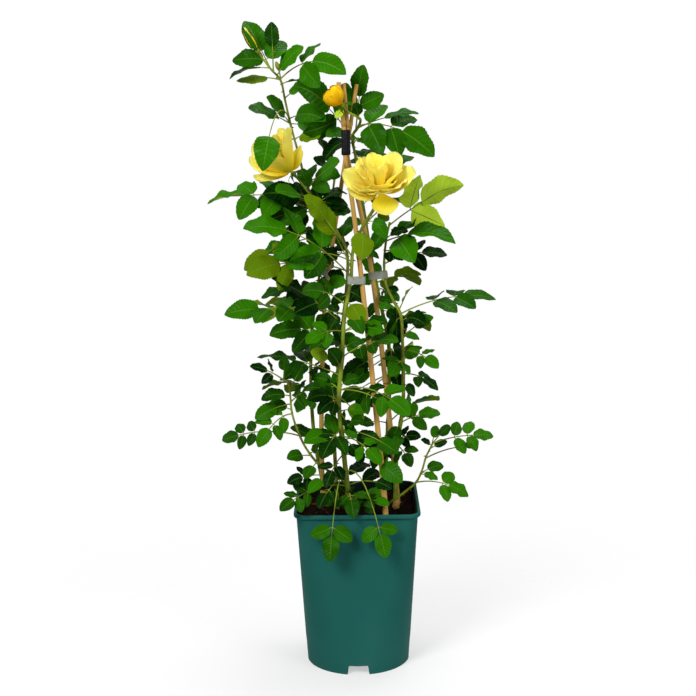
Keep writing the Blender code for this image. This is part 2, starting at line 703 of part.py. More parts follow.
def frond_sheet(path, frond, dice):
    """A compound leaf as one sheet: its stalk, with each leaflet grown from the stalk's edge."""
    root = point_at(path, frond.at)
    tip = np.array(frond.tip, float)
    rise = (root + tip) / 2 + (0.0, 0.0, 2.0 * frond.arch)
    chord = np.linalg.norm(tip - root)
    blade = min(frond.blade, (0.84 if frond.leaflets == 1 else 0.74) * chord)
    face = np.array((0.0, -math.sin(math.radians(frond.lean)), math.cos(math.radians(frond.lean))))

    def line(share):
        return root * (1 - share) ** 2 + rise * 2 * share * (1 - share) + tip * share ** 2

    def ahead(share):
        return unit((rise - root) * (1 - share) + (tip - rise) * share)

    def normal(share):
        way = ahead(share)
        return unit(face - way * (face @ way))

    end = 1.0 - blade / chord
    stalk = end * chord
    first = min(0.3 * blade, 0.5 * stalk)
    room = stalk - first - 8.0
    pairs = min((frond.leaflets - 1) // 2, 1 + max(0, int(room / (0.44 * blade))))
    spread = 0.0 if pairs < 2 else min(0.62 * blade, room / (pairs - 1))
    joints = [end - (first + spread * number) / chord for number in range(pairs)][::-1]
    foot = 0.8 / chord

    sheet = Sheet()
    shares = [0.0]
    for joint in joints:
        shares += [joint - foot, joint + foot]
    shares.append(end)
    lefts, rights = [], []
    for share in shares:
        side = np.cross(ahead(share), normal(share))
        lefts.append(sheet.pair(line(share) - side * STALK_HALF, normal(share), STALK_THICK))
        rights.append(sheet.pair(line(share) + side * STALK_HALF, normal(share), STALK_THICK))
    for index in range(len(shares) - 1):
        sheet.panel(lefts[index], lefts[index + 1], rights[index + 1], rights[index])
        if index % 2 == 0:
            sheet.rim([lefts[index], lefts[index + 1]])
            sheet.rim([rights[index + 1], rights[index]])
    sheet.rim([rights[0], lefts[0]])

    for number, joint in enumerate(joints):
        for sign, edge in ((-1, lefts), (1, rights)):
            turn = math.radians(PAIR_ANGLE + dice.uniform(-6, 6))
            length = blade * PAIR_SHRINK * dice.uniform(0.9, 1.04)
            roll = math.radians(dice.uniform(-12, 12))
            way = ahead(joint)
            up = normal(joint)
            side = np.cross(way, up) * sign
            out = unit(way * math.cos(turn) + side * math.sin(turn) - up * 0.12)
            across = unit(way - out * (way @ out))
            blade_up = sign * np.cross(out, across)
            across = across * math.cos(roll) + blade_up * math.sin(roll)
            blade_up = sign * np.cross(out, across)
            start = line(joint) + side * STALK_HALF

            def middle(share, start=start, out=out, length=length, down=blade_up):
                return start + out * length * share - down * 0.1 * length * share ** 2

            near, far = edge[2 * number + 1], edge[2 * number + 2]
            grow_leaflet(sheet, (near, far), middle, across, blade_up, length, 0.02)

    side = np.cross(ahead(end), normal(end))
    grow_leaflet(sheet, (lefts[-1], rights[-1]), lambda share: line(end + (1 - end) * share),
                 side, normal((1 + end) / 2), blade, 0.02)
    return np.array(sheet.points), sheet.faces


def branch_shape(branch):
    """The path of a branch and its radius there."""
    path = smooth(branch.route, STEM_STEP)
    share = lengths(path) / lengths(path)[-1]
    radii = (branch.thick[0] + (branch.thick[1] - branch.thick[0]) * share) / 2
    return path, radii


def swell_end(path, radii, end):
    """The rings that end a branch: a calyx under a flower, or a closed green bud."""
    ahead = directions(path)[-1]
    if end == "calyx":
        steps = ((2.0, 0.8), (5.0, 2.6), (8.0, 2.4))
    else:
        steps = ((1.0, 0.8), (5.0, 2.4), (10.0, 1.6), (14.0, -0.4))
    extra = [path[-1] + ahead * (far - steps[-1][0]) for far, _ in steps]
    base = path[:-1]
    keep = (base - extra[0]) @ ahead < -1.0
    keep[:1] = True
    last = radii[-1]
    return (np.vstack([base[keep], extra]),
            np.concatenate([radii[:-1][keep], [last + grow for _, grow in steps]]))


def thorn_points(path, radii, share, turn):
    """A hooked thorn: a slim pyramid that leans down, with its root in the stem."""
    middle = point_at(path, share)
    along = lengths(path)
    radius = np.interp(share * along[-1], along, radii)
    out = np.array((math.cos(turn), math.sin(turn), 0.0))
    beside = np.array((-out[1], out[0], 0.0))
    root = middle + out * radius * 0.4
    ring = [root + beside * 1.0, root + (0, 0, 3.0), root - beside * 1.0, root - (0, 0, 2.0)]
    point = middle + out * (radius + THORN_LENGTH) - (0, 0, 1.5)
    return np.array(ring + [point]), [(0, 1, 4), (1, 2, 4), (2, 3, 4), (3, 0, 4), (3, 2, 1, 0)]


def sepal_points(path, radii, turn):
    """A narrow sepal that hangs out and down from the calyx at the end of a branch."""
    ahead = directions(path)[-1]
    across = unit(np.cross(ahead, (0.0, 1.0, 0.2)))
    beside = np.cross(ahead, across)
    out = across * math.cos(turn) + beside * math.sin(turn)
    side = np.cross(ahead, out)
    rim = path[-2]
    root = rim + out * radii[-2] * 0.65
    point = rim + out * SEPAL_LENGTH * 0.75 - ahead * SEPAL_LENGTH * 0.65
    ring = [root + side * 1.6, root + ahead * 0.8, root - side * 1.6, root - ahead * 1.2]
    return np.array(ring + [point]), [(0, 1, 4), (1, 2, 4), (2, 3, 4), (3, 0, 4), (3, 2, 1, 0)]


def make_plant():
    """Each stem with its leaves, thorns and buds as one piece. Gives back their shapes."""
    shapes = {}
    for seed, (name, branches) in enumerate(PLANT.items()):
        dice = random.Random(100 + seed)
        pieces = []
        for number, branch in enumerate(branches):
            path, radii = branch_shape(branch)
            shapes[name, number] = (path, radii)
            ended = (path, radii)
            if branch.end != "plain":
                ended = swell_end(path, radii, branch.end)
            pieces.append(add_object(f"{name}_{number}", *tube(*ended, STEM_SIDES), "leaf"))
            for frond in branch.fronds:
                pieces.append(add_object("frond", *frond_sheet(path, frond, dice), "leaf"))
            for sepal in range(branch.sepals):
                turn = 0.3 + 2 * math.pi * sepal / branch.sepals
                pieces.append(add_object("sepal", *sepal_points(*ended, turn), "leaf"))
            for thorn in range(branch.thorns):
                share = 0.2 + 0.7 * (thorn + dice.uniform(0.1, 0.9)) / branch.thorns
                turn = dice.uniform(0, 2 * math.pi)
                pieces.append(add_object("thorn", *thorn_points(path, radii, share, turn), "leaf"))
        stem = pieces.pop(0)
        stem.name = name
        boolean(stem, pieces, "UNION", "MANIFOLD")
    return shapes


def petal_sheet(bloom, length, opening, turn, frame):
    """One petal: a cupped sheet that rises from the heart and opens outwards."""
    across, beside, axis, root = frame
    out = across * math.cos(turn) + beside * math.sin(turn)
    side = np.cross(axis, out)
    base = root + axis * (GAP + 3.0)
    tilt = math.radians(opening)
    sheet = Sheet()
    rows = []
    for share, half, tall in PETAL_ROWS:
        lean = tilt * (0.55 + 0.75 * share)
        ahead = out * math.sin(lean) + axis * math.cos(lean)
        normal = axis * math.sin(lean) - out * math.cos(lean)
        middle = base + out * 2.0 + ahead * length * share
        width = half * bloom.width * length
        row = []
        for place in (-1.0, 0.0, 1.0):
            cup = normal * abs(place) * width * PETAL_CUP
            crown = ahead * length * tall * (1.0 - abs(place))
            row.append(sheet.pair(middle + side * place * width + cup + crown,
                                  normal, PETAL_THICK))
        rows.append(row)
    for low, high in zip(rows, rows[1:]):
        for index in range(2):
            sheet.panel(low[index], low[index + 1], high[index + 1], high[index])
    lefts = [row[0] for row in rows]
    rights = [row[2] for row in rows]
    sheet.rim(lefts + [rows[-1][1]] + rights[::-1] + [rows[0][1], rows[0][0]])
    return np.array(sheet.points), sheet.faces


def make_bloom(name, bloom, stem, colour):
    """A flower on the end of its stem: petals fused at the root of a rolled heart."""
    path, _ = stem
    root = path[-1]
    axis = directions(path)[-1]
    across = unit(np.cross((0.0, 1.0, 0.0), axis))
    frame = (across, np.cross(axis, across), axis, root)
    wide, tall = bloom.heart
    outline = ((GAP, 0.36), (tall * 0.12, 0.62), (tall * 0.45, 1.0), (tall * 0.8, 0.72),
               (tall, 0.2))
    rise = np.array([root + axis * far for far, _ in outline])
    radii = np.array([wide / 2 * share for _, share in outline])
    heart = add_object(name, *tube(rise, radii, HEART_SIDES), colour)
    petals = []
    dice = random.Random(len(bloom.whorls) * 31 + int(tall))
    for count, length, opening, first in bloom.whorls:
        for number in range(count):
            turn = math.radians(first + 360.0 * number / count + dice.uniform(-6, 6))
            reach = length * (1 + bloom.long_side * math.cos(turn)) * dice.uniform(0.94, 1.06)
            tilt = opening + (3.5 if number % 2 else -3.5)
            petals.append(add_object("petal", *petal_sheet(bloom, reach, tilt, turn, frame),
                                     colour))
    if petals:
        boolean(heart, petals, "UNION", "MANIFOLD")


def main():
    clear_scene()
    make_pot()
    canes = make_canes()
    branches = make_plant()
    stems = {name: branches[name, 0] for name in PLANT}
    roots = [(path, radii, CANE_SIDES) for path, radii in canes.values()]
    roots += [(path, radii, STEM_SIDES) for path, radii in stems.values()]
    make_soil(roots)
    rods = {**canes, **stems}
    make_loop("cane_band", rods["cane_middle"], rods["cane_right"], BAND_MIDDLE, BAND_HEIGHT,
              BAND_LOOSE, "band")
    for name, (first, second, height) in TIES.items():
        make_loop(name, rods[first], rods[second], height, TAPE_HEIGHT, TAPE_LOOSE, "tie")
    for name, bloom in BLOOMS.items():
        make_bloom(name, bloom, branches[bloom.branch],
                   "orange" if name == "bud_orange" else "yellow")


main()
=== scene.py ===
"""A climbing rose in a deep nursery pot, tied to three bamboo canes, dressed over its CAD frame.

Tables are in millimetres and meshes in metres. X runs to the right, Y to the back and Z up, and
the origin is the middle of the pot's foot, on the ground.
"""

import logging
import math
import random
from dataclasses import dataclass, field, fields, replace
from enum import Enum

import bmesh
import bpy
import numpy as np
from mathutils import Matrix


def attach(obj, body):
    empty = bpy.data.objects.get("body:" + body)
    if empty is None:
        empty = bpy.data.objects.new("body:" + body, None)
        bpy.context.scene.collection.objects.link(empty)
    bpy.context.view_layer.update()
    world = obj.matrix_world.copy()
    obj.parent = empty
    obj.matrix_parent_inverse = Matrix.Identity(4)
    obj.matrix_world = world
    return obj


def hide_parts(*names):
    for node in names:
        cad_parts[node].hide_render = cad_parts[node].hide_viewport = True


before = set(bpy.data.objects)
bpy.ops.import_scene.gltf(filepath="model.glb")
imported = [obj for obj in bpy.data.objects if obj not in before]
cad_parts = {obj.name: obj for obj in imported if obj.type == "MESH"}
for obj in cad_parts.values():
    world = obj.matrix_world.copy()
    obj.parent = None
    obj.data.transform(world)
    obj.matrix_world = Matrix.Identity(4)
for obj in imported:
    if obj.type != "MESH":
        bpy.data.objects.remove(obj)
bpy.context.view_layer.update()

Array = np.ndarray
Point = tuple[float, float, float]
Colour = tuple[float, float, float]
Span = tuple[float, float]
Rod = tuple[Array, Array]  # a middle line and its radii

LOG = logging.getLogger("rose")
MM = 0.001
BODY = "root"
PATTERN = "pattern"  # the UV map of every piece
PATTERN_UNIT = 100.0  # how many millimetres one unit of it spans along a rod
MARKS = "marks"  # the corner attribute: tint, underside, wood, special
TINY = 1e-9
MIDDLE = 0.5  # the tint of what has no shade of its own
SHARP = math.radians(50)
MIX_FACTOR, MIX_FIRST, MIX_SECOND, MIX_RESULT = 0, 6, 7, 2  # a Mix node's colour sockets


def put(name: str, data: bpy.types.ID) -> bpy.types.Object:
    """Add an object to the scene."""
    made = bpy.data.objects.new(name, data)
    bpy.context.scene.collection.objects.link(made)
    return made


# Geometry

def unit(vectors: Array) -> Array:
    """The vectors, each divided by its own length."""
    vectors = np.asarray(vectors, float)
    return vectors / np.maximum(np.linalg.norm(vectors, axis=-1, keepdims=True), TINY)


def circle(count: int, start: float = 0.0) -> Array:
    """Flat unit vectors, evenly spread round a circle from an angle on."""
    turn = np.arange(count) * 2 * np.pi / count + start
    return np.column_stack([np.cos(turn), np.sin(turn)])


def at_height(flat: Array, height: float) -> Array:
    """Flat points, lifted to a height."""
    return np.column_stack([flat, np.full(len(flat), height)])


def quarters(flat: Array) -> list[Array]:
    """Flat points, and the same after one, two and three quarter turns."""
    turned = [flat]
    for _ in range(3):
        turned.append(np.column_stack([-turned[-1][:, 1], turned[-1][:, 0]]))
    return turned


def swung(points: Array, first: int, second: int, angle: Array) -> Array:
    """Points turned about the origin, in the plane of two of their axes."""
    moved = points.copy()
    moved[..., first] = points[..., first] * np.cos(angle) + points[..., second] * np.sin(angle)
    moved[..., second] = points[..., second] * np.cos(angle) - points[..., first] * np.sin(angle)
    return moved


def ripple(points: Array, size: float, seed: int, count: int = 12,
           sizes: Span = (0.6, 1.6)) -> Array:
    """Smooth random relief: the sum of sine waves, each in a random direction.

    Args:
        points: places in millimetres, along the last axis.
        size: the usual length of a wave.
        seed: chooses the waves.
        count: how many waves.
        sizes: the shortest and the longest, against the usual one.

    Returns:
        About -1 to 1 for each point.
    """
    dice = np.random.default_rng(seed)
    waves = unit(dice.normal(size=(count, 3))) * 2 * np.pi
    waves = waves / (size * dice.uniform(*sizes, (count, 1)))
    return np.sin(points @ waves.T + dice.uniform(0, 2 * np.pi, count)).sum(axis=-1) / (count / 3)


def smooth(route: tuple, step: float) -> Array:
    """A Catmull-Rom curve: each span is the cubic through its four nearest points.

    Args:
        route: points that it passes through.
        step: about how far apart it is read.

    Returns:
        The curve's points.
    """
    points = np.asarray(route, float)
    ends = np.vstack([2 * points[0] - points[1], points, 2 * points[-1] - points[-2]])
    curve = []
    for index in range(len(points) - 1):
        before, start, stop, after = ends[index:index + 4]
        count = max(1, round(np.linalg.norm(stop - start) / step))
        share = (np.arange(count) / count)[:, None]
        curve.append(0.5 * (2 * start + (stop - before) * share
                            + (2 * before - 5 * start + 4 * stop - after) * share ** 2
                            + (3 * start - before - 3 * stop + after) * share ** 3))
    return np.vstack(curve + [points[-1:]])


def arc(start: Array, bend: Array, tip: Array, share: Array | float) -> Array:
    """The quadratic curve from start to tip that leans to bend, at shares of its course."""
    return start * (1 - share) ** 2 + bend * 2 * share * (1 - share) + tip * share ** 2


def arc_way(start: Array, bend: Array, tip: Array, share: Array | float) -> Array:
    """The unit direction of that curve."""
    return unit((bend - start) * (1 - share) + (tip - bend) * share)


def lengths(path: Array) -> Array:
    """The distance along a path at each of its points."""
    return np.concatenate([[0.0], np.cumsum(np.linalg.norm(np.diff(path, axis=0), axis=1))])


def directions(path: Array) -> Array:
    """The unit direction of a path at each of its points."""
    return unit(np.gradient(path, axis=0))


def between(keys: Array, values: Array, wanted: Array | float) -> Array:
    """Vectors read from a table at places between its keys."""
    return np.stack([np.interp(wanted, keys, column) for column in values.T], axis=-1)


class Mark(Enum):
    """What a face belongs to, as the last three numbers of its corner attribute."""

    TOP = (0.0, 0.0, 0.0)
    UNDER = (1.0, 0.0, 0.0)  # a blade's underside, and the pot's inside
    BARK = (0.0, 1.0, 0.0)  # stems, and the cut stub in the soil
    THORN = (0.0, 1.0, 1.0)
    CHIP = (0.0, 0.0, 1.0)


@dataclass
class Surface:
    """A mesh in the making, in millimetres."""

    points: Array
    quads: Array
    triangles: Array
    pattern: Array  # two numbers a point
    quad_marks: Array  # four numbers a face
    triangle_marks: Array

    @staticmethod
    def joined(parts: list["Surface"]) -> "Surface":
        """Put surfaces into one, without welding them."""
        starts = np.cumsum([0] + [len(part.points) for part in parts[:-1]])
        moved = [replace(part, quads=part.quads + start, triangles=part.triangles + start)
                 for part, start in zip(parts, starts)]
        return Surface(*(np.vstack([getattr(part, each.name) for part in moved])
                         for each in fields(Surface)))

    def piece(self, name: str, finish: "Finish", slot: str, node: str) -> None:
        """Make the mesh, turn its faces outwards and seat it on the body.

        Args:
            name: the new piece's name.
            finish: what it is made of.
            slot: the material slot of the record; not used.
            node: the CAD node that it stands for.
        """
        mesh = bpy.data.meshes.new(name)
        mesh.from_pydata((self.points * MM).tolist(), [],
                         self.quads.tolist() + self.triangles.tolist())
        corners = np.empty(len(mesh.loops), int)
        mesh.loops.foreach_get("vertex_index", corners)
        mesh.uv_layers.new(name=PATTERN).data.foreach_set("uv", self.pattern[corners].ravel())
        marks = np.vstack([np.repeat(self.quad_marks, 4, axis=0),
                           np.repeat(self.triangle_marks, 3, axis=0)])
        made = mesh.color_attributes.new(MARKS, "FLOAT_COLOR", "CORNER")
        made.data.foreach_set("color", marks.ravel())
        work = bmesh.new()
        work.from_mesh(mesh)
        bmesh.ops.recalc_face_normals(work, faces=work.faces)
        work.to_mesh(mesh)
        work.free()
        mesh.shade_smooth()
        mesh.set_sharp_from_angle(angle=SHARP)
        mesh.materials.append(finish.material())
        piece = put(name, mesh)
        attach(piece, BODY)
        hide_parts(node)


def painted(count: int, tint: float, mark: Mark) -> Array:
    """The marks of faces that are all alike."""
    return np.tile((tint, *mark.value), (count, 1))


def ring_quads(count: int, sides: int) -> Array:
    """The quads between rings of points that follow each other in memory."""
    near = np.arange(sides)
    far = (near + 1) % sides
    low = np.arange(count - 1)[:, None] * sides
    return np.stack([low + near, low + far, low + sides + far, low + sides + near],
                    axis=-1).reshape(-1, 4)


def band(rings: Array) -> Surface:
    """A closed skin through rings of points, the last of which meets the first."""
    count, sides = rings.shape[:2]
    points = rings.reshape(-1, 3)
    quads = ring_quads(count + 1, sides) % (count * sides)
    return Surface(points, quads, np.zeros((0, 3), int), points[:, :2] / PATTERN_UNIT,
                   painted(len(quads), MIDDLE, Mark.TOP), np.zeros((0, 4)))


def lathe(rings: Array, tint: float = MIDDLE, mark: Mark = Mark.BARK) -> Surface:
    """A closed skin over rings of points, whose ends are closed by a point in their middle.

    Args:
        rings: rings of the same number of points, in order.
        tint: the shade of all its faces.
        mark: what it is.

    Returns:
        The skin. Its pattern runs once round, and in pattern units along.
    """
    count, sides = rings.shape[:2]
    middles = rings.mean(axis=1)
    near = np.arange(sides)
    far = (near + 1) % sides
    last = (count - 1) * sides
    caps = np.vstack([np.column_stack([np.full(sides, count * sides), far, near]),
                      np.column_stack([np.full(sides, count * sides + 1), last + near,
                                       last + far])])
    along = lengths(middles) / PATTERN_UNIT
    pattern = np.stack(np.broadcast_arrays(np.abs(near / sides * 2 - 1), along[:, None]), axis=-1)
    quads = ring_quads(count, sides)
    return Surface(np.vstack([rings.reshape(-1, 3), middles[:1], middles[-1:]]), quads, caps,
                   np.vstack([pattern.reshape(-1, 2), (0.5, 0.0), (0.5, along[-1])]),
                   painted(len(quads), tint, mark), painted(len(caps), tint, mark))


def rod(path: Array, radii: Array, sides: int, tint: float = MIDDLE, mark: Mark = Mark.BARK,
        ways: Array | None = None) -> Surface:
    """A round rod: circles round a path, each square to the path's direction there.

    Args:
        path: its middle line.
        radii: its radius at each point.
        sides: points in each circle.
        tint: the shade of its faces.
        mark: what it is.
        ways: its directions, where the path turns back on itself.

    Returns:
        The closed rod.
    """
    ways = directions(path) if ways is None else ways
    spare = np.eye(3)[np.argmin(np.abs(ways.mean(axis=0)))]
    across = unit(np.cross(ways, spare))
    beside = np.cross(ways, across)
    flat = circle(sides)
    arms = flat[:, :1] * across[:, None] + flat[:, 1:] * beside[:, None]
    return lathe(path[:, None] + np.asarray(radii)[:, None, None] * arms, tint, mark)


def sheets(top: Array, below: Array, pattern: Array, tints: Array, pointed: bool) -> Surface:
    """Thin closed sheets: each has a top grid and a lower one that share their edge.

    Args:
        top: the points of each sheet's top, as sheets x rows x columns x 3. The first row is
            drawn together in one point, and the last row too if the sheet is pointed.
        below: the points under them; only those inside the edge are used.
        pattern: rows x columns x 2.
        tints: one shade a sheet.
        pointed: whether the last row is one point.

    Returns:
        All the sheets in one surface.
    """
    count, rows, columns = top.shape[:3]
    tips = 2 if pointed else 1
    kept, inside = rows - tips, rows - 2
    upper = tips + np.arange(kept * columns).reshape(kept, columns)
    lower = upper.copy()
    lower[:inside, 1:-1] = (tips + kept * columns
                            + np.arange(inside * (columns - 2)).reshape(inside, -1))
    quads, fans, quad_marks, fan_marks = [], [], [], []
    for places, mark in ((upper, Mark.TOP), (lower, Mark.UNDER)):
        faces = np.stack([places[:-1, :-1], places[:-1, 1:], places[1:, 1:], places[1:, :-1]],
                         axis=-1).reshape(-1, 4)
        fan = np.column_stack([np.zeros(columns - 1, int), places[0, 1:], places[0, :-1]])
        if pointed:
            last = np.column_stack([np.ones(columns - 1, int), places[-1, :-1], places[-1, 1:]])
            fan = np.vstack([fan, last])
        quads.append(faces if mark is Mark.TOP else faces[:, (0, 3, 2, 1)])
        fans.append(fan if mark is Mark.TOP else fan[:, ::-1])
        quad_marks.append(painted(len(faces), 0.0, mark))
        fan_marks.append(painted(len(fan), 0.0, mark))
    drawn = (0, -1)[:tips]
    points = np.concatenate([top[:, drawn].mean(axis=2),
                             top[:, 1:kept + 1].reshape(count, -1, 3),
                             below[:, 1:-1, 1:-1].reshape(count, -1, 3)], axis=1)
    flat = np.vstack([pattern[list(drawn)].mean(axis=1), pattern[1:kept + 1].reshape(-1, 2),
                      pattern[1:-1, 1:-1].reshape(-1, 2)])
    one = Surface(points[0], np.vstack(quads), np.vstack(fans), flat, np.vstack(quad_marks),
                  np.vstack(fan_marks))
    return copies(one, points, tints, tints)


def copies(one: Surface, points: Array, tints: Array, fan_tints: Array) -> Surface:
    """Surfaces that are built alike, each from its own points and with its own shade.

    Args:
        one: gives the faces, the pattern and the marks.
        points: surfaces x points x 3.
        tints: the shade of each surface's quads.
        fan_tints: the shade of its triangles.

    Returns:
        All of them in one surface.
    """
    count = len(points)
    starts = np.arange(count)[:, None, None] * points.shape[1]

    def shaded(marks: Array, shades: Array) -> Array:
        """The marks of every copy, with its own shade."""
        every = np.tile(marks, (count, 1, 1))
        every[..., 0] = shades[:, None]
        return every.reshape(-1, 4)

    return Surface(points.reshape(-1, 3), (one.quads[None] + starts).reshape(-1, 4),
                   (one.triangles[None] + starts).reshape(-1, 3),
                   np.tile(one.pattern, (count, 1)), shaded(one.quad_marks, tints),
                   shaded(one.triangle_marks, fan_tints))


# Materials

class Value:
    """A number on its way through a material; Python's operators add its Math nodes."""

    def __init__(self, wires: "Wires", socket: bpy.types.NodeSocket) -> None:
        """Keep the socket and the material's wiring."""
        self.wires, self.socket = wires, socket

    def also(self, output: str | int) -> "Value":
        """Another output of the same node."""
        return Value(self.wires, self.socket.node.outputs[output])

    def math(self, operation: str, *others: "Value | float") -> "Value":
        """A Math node whose first input is this value."""
        return self.wires.node("ShaderNodeMath", {"operation": operation},
                               dict(enumerate((self, *others))))

    def __add__(self, other: "Value | float") -> "Value":
        """The sum."""
        return self.math("ADD", other)

    def __sub__(self, other: "Value | float") -> "Value":
        """The difference."""
        return self.math("SUBTRACT", other)

    def __rsub__(self, other: float) -> "Value":
        """A number less this value."""
        return self.wires.node("ShaderNodeMath", {"operation": "SUBTRACT"}, {0: other, 1: self})

    def __mul__(self, other: "Value | float") -> "Value":
        """The product."""
        return self.math("MULTIPLY", other)

    def __abs__(self) -> "Value":
        """The value without its sign."""
        return self.math("ABSOLUTE")

    __radd__ = __add__
    __rmul__ = __mul__

    def within(self, ramp: Span) -> "Value":
        """0 below the ramp and 1 above it, eased between its ends."""
        return self.wires.node("ShaderNodeMapRange", {"interpolation_type": "SMOOTHSTEP"},
                               {"Value": self, "From Min": ramp[0], "From Max": ramp[1]})


def weighed(weights: tuple[float, ...], *values: Value) -> Value:
    """The sum of the values by their weights, and of the last weight alone."""
    first, *rest = (value * weight for value, weight in zip(values, weights))
    return sum(rest, first) + weights[-1]


@dataclass(frozen=True)
class Grain:
    """Noise: its waves a metre, its finer layers and its stretch along the three axes."""

    scale: float
    detail: float = 3.0
    stretch: Point = (1.0, 1.0, 1.0)


class Wires:
    """One material's nodes."""

    def __init__(self, name: str) -> None:
        """Start a material with only its shader."""
        self.material = bpy.data.materials.new(name)
        self.material.use_nodes = True
        self.tree = self.material.node_tree
        self.shader = self.tree.nodes["Principled BSDF"]

    def node(self, kind: str, settings: dict | None = None, inputs: dict | None = None,
             output: str | int = 0) -> Value:
        """Add a node.

        Args:
            kind: its Blender type.
            settings: properties that are set first.
            inputs: numbers, tuples or values for its sockets, by name or number.
            output: the socket to give back.

        Returns:
            That output, as a value.
        """
        made = self.tree.nodes.new(kind)
        for key, setting in (settings or {}).items():
            setattr(made, key, setting)
        for key, given in (inputs or {}).items():
            self.feed(made.inputs[key], given)
        return Value(self, made.outputs[output])

    def feed(self, socket: bpy.types.NodeSocket, given: object) -> None:
        """Link a value to a socket, or set a constant on it."""
        if isinstance(given, Value):
            self.tree.links.new(given.socket, socket)
        else:
            socket.default_value = (*given, 1.0) if socket.type == "RGBA" else given

    def blend(self, first: "Value | Colour", second: "Value | Colour",
              factor: "Value | float") -> Value:
        """The first colour at factor 0 and the second at 1."""
        return self.node("ShaderNodeMix", {"data_type": "RGBA"},
                         {MIX_FACTOR: factor, MIX_FIRST: first, MIX_SECOND: second}, MIX_RESULT)

    def place(self) -> Value:
        """Object coordinates, in metres."""
        return self.node("ShaderNodeTexCoord", output="Object")

    def noise(self, grain: Grain, place: Value | None = None) -> Value:
        """Noise from 0 to 1 on object coordinates, or on another place."""
        spot = self.node("ShaderNodeMapping", {}, {"Vector": place or self.place(),
                                                   "Scale": grain.stretch})
        return self.node("ShaderNodeTexNoise", {}, {"Vector": spot, "Scale": grain.scale,
                                                    "Detail": grain.detail}, "Fac")

    def shades(self, weights: tuple[float, ...], *values: Value) -> Value:
        """The values by their weights, and the last weight alone, eased into 0 to 1."""
        return weighed(weights, *values).within((0.0, 1.0))

    def uv(self) -> Value:
        """The piece's own pattern, as a vector."""
        return self.node("ShaderNodeUVMap", {"uv_map": PATTERN})

    def pattern(self) -> tuple[Value, Value]:
        """The two numbers of the piece's own pattern: across and along."""
        across = self.node("ShaderNodeSeparateXYZ", {}, {0: self.uv()})
        return across, across.also(1)

    def marks(self) -> tuple[Value, Value, Value, Value]:
        """Tint, underside, wood and special."""
        found = self.node("ShaderNodeAttribute", {"attribute_name": MARKS}, {}, "Color")
        tint = self.node("ShaderNodeSeparateColor", {}, {0: found})
        return tint, tint.also(1), tint.also(2), found.also("Alpha")

    def bump(self, height: Value, depth: float) -> Value:
        """A relief for the shader's Normal, whose depth is in metres."""
        return self.node("ShaderNodeBump", {}, {"Height": height, "Distance": depth,
                                                "Strength": 1.0})

    def finish(self, **inputs: object) -> bpy.types.Material:
        """Feed the shader's sockets, named with _ for a space, and give back the material."""
        for key, given in inputs.items():
            self.feed(self.shader.inputs[key.replace("_", " ")], given)
        return self.material


@dataclass(frozen=True)
class Finish:
    """What a piece is made of. Its material is made once."""

    name: str
    sheen: float = 0.02  # the strength of its reflections
    relief: float = 0.001  # how deep its bumps are, in metres

    def material(self) -> bpy.types.Material:
        """The material of this finish."""
        made = bpy.data.materials.get(self.name)
        if made is None:
            wires = Wires(self.name)
            made = wires.finish(Specular_IOR_Level=self.sheen, **self.inputs(wires))
        return made

    def inputs(self, wires: Wires) -> dict[str, object]:
        """Wire the material and name what feeds its shader."""
        raise NotImplementedError


